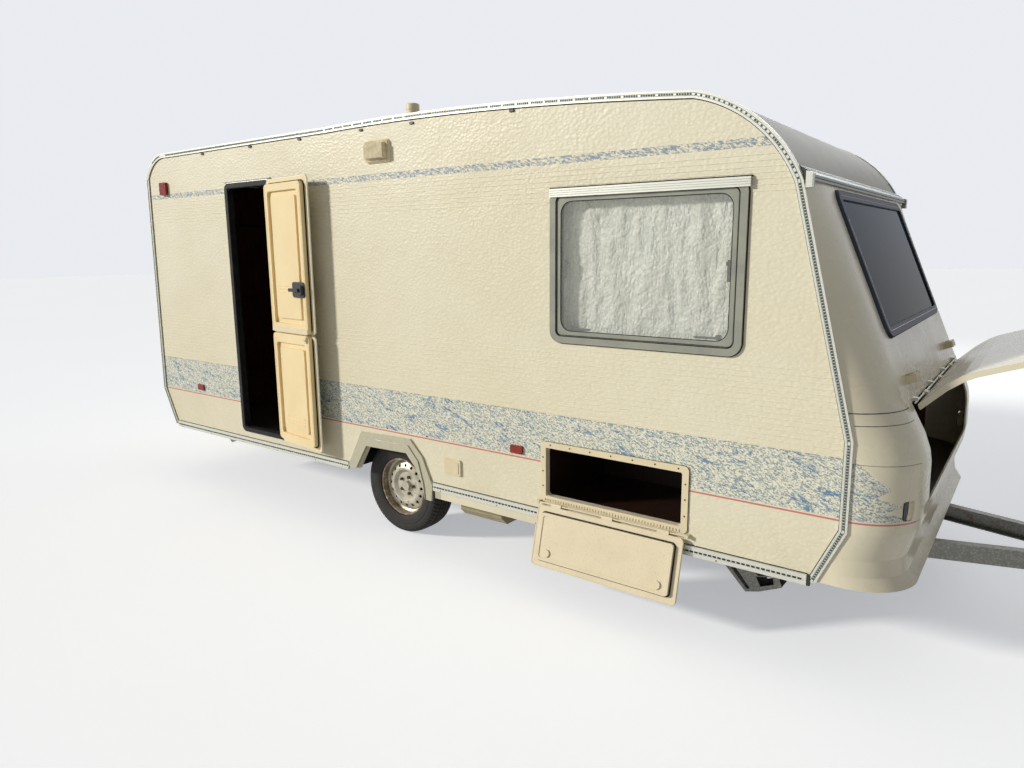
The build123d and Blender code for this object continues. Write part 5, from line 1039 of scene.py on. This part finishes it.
def nose_path(front, edge, grow, steps=10):
    """The nose's outline from above, from right to left, grown outwards."""
    depth = front - max(edge + 4, front - CORNER_WIDTH)
    radius = (depth**2 + CORNER_WIDTH**2) / (2 * depth)
    sweep = math.asin(min(CORNER_WIDTH / radius, 1.0))
    quarter = []
    for step in range(steps + 1):
        angle = sweep * (1 - step / steps)
        station = front - radius + (radius + grow) * math.cos(angle)
        quarter.append((station, CORNER_START + (radius + grow) * math.sin(angle)))
    return [(station, -y) for station, y in quarter] + quarter[::-1]


def surface_line(shape, node, path, height, half, proud):
    """A thin line that follows a moulding's skin at one height."""
    skin = nodes[node]
    there, back = skin.matrix_world, skin.matrix_world.inverted()
    section = ((-half, -1), (-half * 0.7, proud), (half * 0.7, proud), (half, -1))
    loops = []
    for station, side in path:
        _, spot, normal, _ = skin.closest_point_on_mesh(back @ Vector((sx(station), side / 1000, sz(height))))
        spot, normal = there @ spot, (there.to_3x3() @ normal).normalized()
        rise = Vector((0, 0, 1)) - normal * normal.z
        loops.append([spot + rise * (v / 1000) + normal * (out / 1000) for v, out in section])
    shape.skin(loops)


def nose_seams():
    """The lines on the fairing, beside the lid."""
    for name, lines in (("nose_joint", JOINT_LINES), ("fairing_lines", FINE_LINES)):
        shape = Shape()
        for front, edge, height, half, proud, steps in lines:
            path = nose_path(front, edge, 2)
            for part in (path[:steps], path[-steps:]):
                surface_line(shape, "front_fairing", part, height, half, proud)
        shape.piece(name, "gasket_black")


def brow_ribs():
    """Three dark lines along the rail over the front window."""
    low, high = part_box("brow_rail")
    ribs = Shape()
    section = ((-1.8, -0.5), (-1.4, 1.0), (1.4, 1.0), (1.8, -0.5))
    for station, height, ahead, up in BROW_LINES:
        ribs.skin([
            [(sx(station + ahead * v + up * out), y, sz(height + up * v - ahead * out)) for v, out in section]
            for y in (low[1] + 0.004, high[1] - 0.004)
        ])
    ribs.piece("brow_ribs", "gasket_black")


def arch_lines():
    """A dark line at the foot of the step in each wheel arch."""
    lines = Shape()
    for wall in WALLS.values():
        loops = []
        for point in ARCH_STEP:
            pull = (ARCH_MIDDLE - Vector(point)).normalized()
            near, far = Vector(point) + pull * 0.5, Vector(point) + pull * 4.5
            loops.append([wall.at(*near, 12), wall.at(*near, 14.2), wall.at(*far, 14.2), wall.at(*far, 12)])
        lines.skin(loops)
    lines.piece("arch_lines", "gasket_black")


def lamp_trim():
    """Bezels, and the rear wall's empty holder and reflectors."""
    bezels, cream, reflectors = Shape(), Shape(), Shape()
    for side in (-1, 1):
        bezels.ring(REAR, (side * 880, 180), (150, 330), 16, ((0, -0.5), (7, -0.5), (6, 9), (0, 12)))
        reflectors.plate(REAR, (side * 620, 60), (96, 44), 8, -0.5, 10, 3)
    bezels.piece("rear_lamp_bezels", "plastic_black")
    cream.ring(WALLS[-1], *middle_and_size(AWNING_LAMP), 16, ((0, -0.5), (7, -0.5), (6, 8), (0, 12)))
    cream.ring(WALLS[-1], *middle_and_size(SERVICE_CAP), 10, ((0, -0.5), (3, -0.5), (2.5, 3), (0, 5)))
    cream.piece("fitting_bezels", "plastic_cream")
    holder = Shape().plate(REAR, (0, 60), (530, 126), 14, -0.5, 9, 3)
    holder.ring(REAR, (0, 60), (500, 96), 8, ((0, 8.5), (4, 8.5), (3, 11), (1, 11)))
    holder.piece("rear_plate_holder", "plastic_black")
    reflectors.piece("rear_reflectors", "lamp_red", finish="reflector_red")


# Wheels

PITCHES = 68
# Shares of a pitch, of which the first two lie in the cross groove
TREAD_STEPS = (0.0, 0.12, 0.16, 0.56, 0.96)
GROOVE_STEPS = 2
SHOULDER = 270
SLANT = 0.0011
# Half of a tyre's section: distance from its middle, radius, and how deep the cross grooves cut there
TYRE_HALF = (
    (66, 183, 0), (76, 186, 0), (82, 190, 0), (84, 196, 0), (87, 200, 0), (90, 214, 0), (92, 230, 0), (92.4, 240, 0),
    (90.6, 243, 0), (90.4, 249, 0), (91.6, 252, 0), (90.6, 262, 0), (89, 271, 0), (87.6, 277, 1), (86.4, 281, 4),
    (83, 287, 5), (78, 292.5, 6), (70, 296.6, 7), (56, 299.4, 7), (43.5, 300.8, 7), (42.5, 300.2, 6),
    (41.5, 294, 0), (34.5, 294, 0), (33.5, 300.6, 4), (32.5, 301.2, 5), (18, 301.8, 5), (17, 301.2, 4),
    (16, 294.5, 0), (9, 294.5, 0), (8, 301.2, 4), (7, 301.9, 5), (0, 302, 5),
)


def vent_shadow(side, body):
    """A black plate behind a rim's vents, a dark sheet that stands for the shade seen through them."""
    # Painted shade: a black sheet behind the vents
    plate = Shape().ring(WALLS[side], WHEEL, (300, 300), 149.9, ((-44, -153), (0, -153), (0, -150.5), (-44, -150.5)))
    plate.piece("vent_shade_plate_" + body, "gasket_black", body)


def tyre(side, body):
    """A road tyre with ringed side walls, three grooves round it and cross grooves."""
    section = [*TYRE_HALF, *((-y, radius, cut) for y, radius, cut in TYRE_HALF[-2::-1])]
    loops = []
    for pitch in range(PITCHES):
        for place, share in enumerate(TREAD_STEPS):
            loop = []
            for y, radius, cut in section:
                slant = SLANT * (max(abs(y) - 6, 0) if radius > SHOULDER else 80)
                angle = (pitch + share) * 2 * math.pi / PITCHES + slant
                reach = (radius - cut if place < GROOVE_STEPS else radius) / 1000
                loop.append((
                    sx(WHEEL[0]) + reach * math.cos(angle),
                    (side * WHEEL_SIDE + y) / 1000,
                    sz(WHEEL[1]) + reach * math.sin(angle),
                ))
            loops.append(loop)
    made = Shape().skin(loops, along=True).piece("dressed_tyre_" + body, "tyre_rubber", body, 30)
    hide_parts("tyre_" + SIDES[side])


keder_inserts()
sill_inserts()
wall_ribs()
clips_and_screws()
windows()
door_trim()
hatch_trim()
nose_seams()
brow_ribs()
arch_lines()
lamp_trim()
for dress in (vent_shadow, tyre):
    for side in (-1, 1):
        dress(side, "wheel_" + SIDES[side])


# Camera, light and floor

# Turned, tilted and rolled by degrees
CAMERA_PLACE = (-0.83, -4.15, 1.36)
CAMERA_TURNS = (("Z", 36.565), ("X", 90 - 10.58), ("Z", -0.51))
LENS, SENSOR = 25.55, 36
LAMP_TARGET = Vector((-3.6, 0, 0.8))
BACKDROP = (0.93, 0.95, 1.0, 1)
LIGHT_LEVEL, SEEN_LEVEL = 0.25, 0.88
FLOOR_GLOW = 0.44
FLOOR_REACH = 60
FLOOR_DROP = 0.0005


def make_camera():
    camera = bpy.data.cameras.new("camera")
    camera.lens = LENS
    camera.sensor_width = SENSOR
    camera.clip_end = 100
    turn = Matrix.Identity(4)
    for axis, angle in CAMERA_TURNS:
        turn = turn @ Matrix.Rotation(math.radians(angle), 4, axis)
    bpy.context.scene.camera = placed("camera", camera, CAMERA_PLACE, turn)


def make_light(name, kind, place, power, size, colour=(1, 1, 1)):
    """A lamp that shines at the caravan's middle."""
    lamp = bpy.data.lights.new(name, kind)
    lamp.energy = power
    lamp.color = colour
    if kind == "SUN":
        lamp.angle = size
    else:
        lamp.shape, lamp.size = "DISK", size
    placed(name, lamp, place, (LAMP_TARGET - Vector(place)).to_track_quat("-Z", "Y"))


def make_world():
    """Pale surroundings, near white where they are seen."""
    world = bpy.data.worlds.new("world")
    bpy.context.scene.world = world
    world.use_nodes = True
    sky = Nodes(world.node_tree)
    background = sky.tree.nodes["Background"]
    background.inputs["Color"].default_value = BACKDROP
    sky.put(sky.pick(sky.seen(), LIGHT_LEVEL, SEEN_LEVEL), background.inputs["Strength"])


def make_floor():
    """A pale floor that runs into the backdrop and keeps the shadow."""
    floor = Paint("pale_floor", 0.9, Specular_IOR_Level=0.0)
    floor.colour(floor.mix(floor.noise(2.0, 3), (0.76, 0.76, 0.75, 1), (0.79, 0.79, 0.78, 1)))
    floor.shader.inputs["Emission Color"].default_value = BACKDROP
    floor.put(floor.all(floor.seen(), FLOOR_GLOW), floor.shader.inputs["Emission Strength"])
    mesh = bpy.data.meshes.new("floor")
    corners = ((-1, -1), (1, -1), (1, 1), (-1, 1))
    mesh.from_pydata([(x * FLOOR_REACH, y * FLOOR_REACH, sz(0) - FLOOR_DROP) for x, y in corners], [], [(0, 1, 2, 3)])
    mesh.materials.append(floor.mat)
    placed("floor", mesh)


bpy.context.scene.view_settings.view_transform = "Standard"
make_camera()
make_world()
make_floor()
make_light("key", "SUN", (-10.6, -6.4, 4.3), 3.05, math.radians(7), (1.0, 0.98, 0.925))
make_light("back", "AREA", (-3.0, 9.0, 6.0), 150, 5.0)
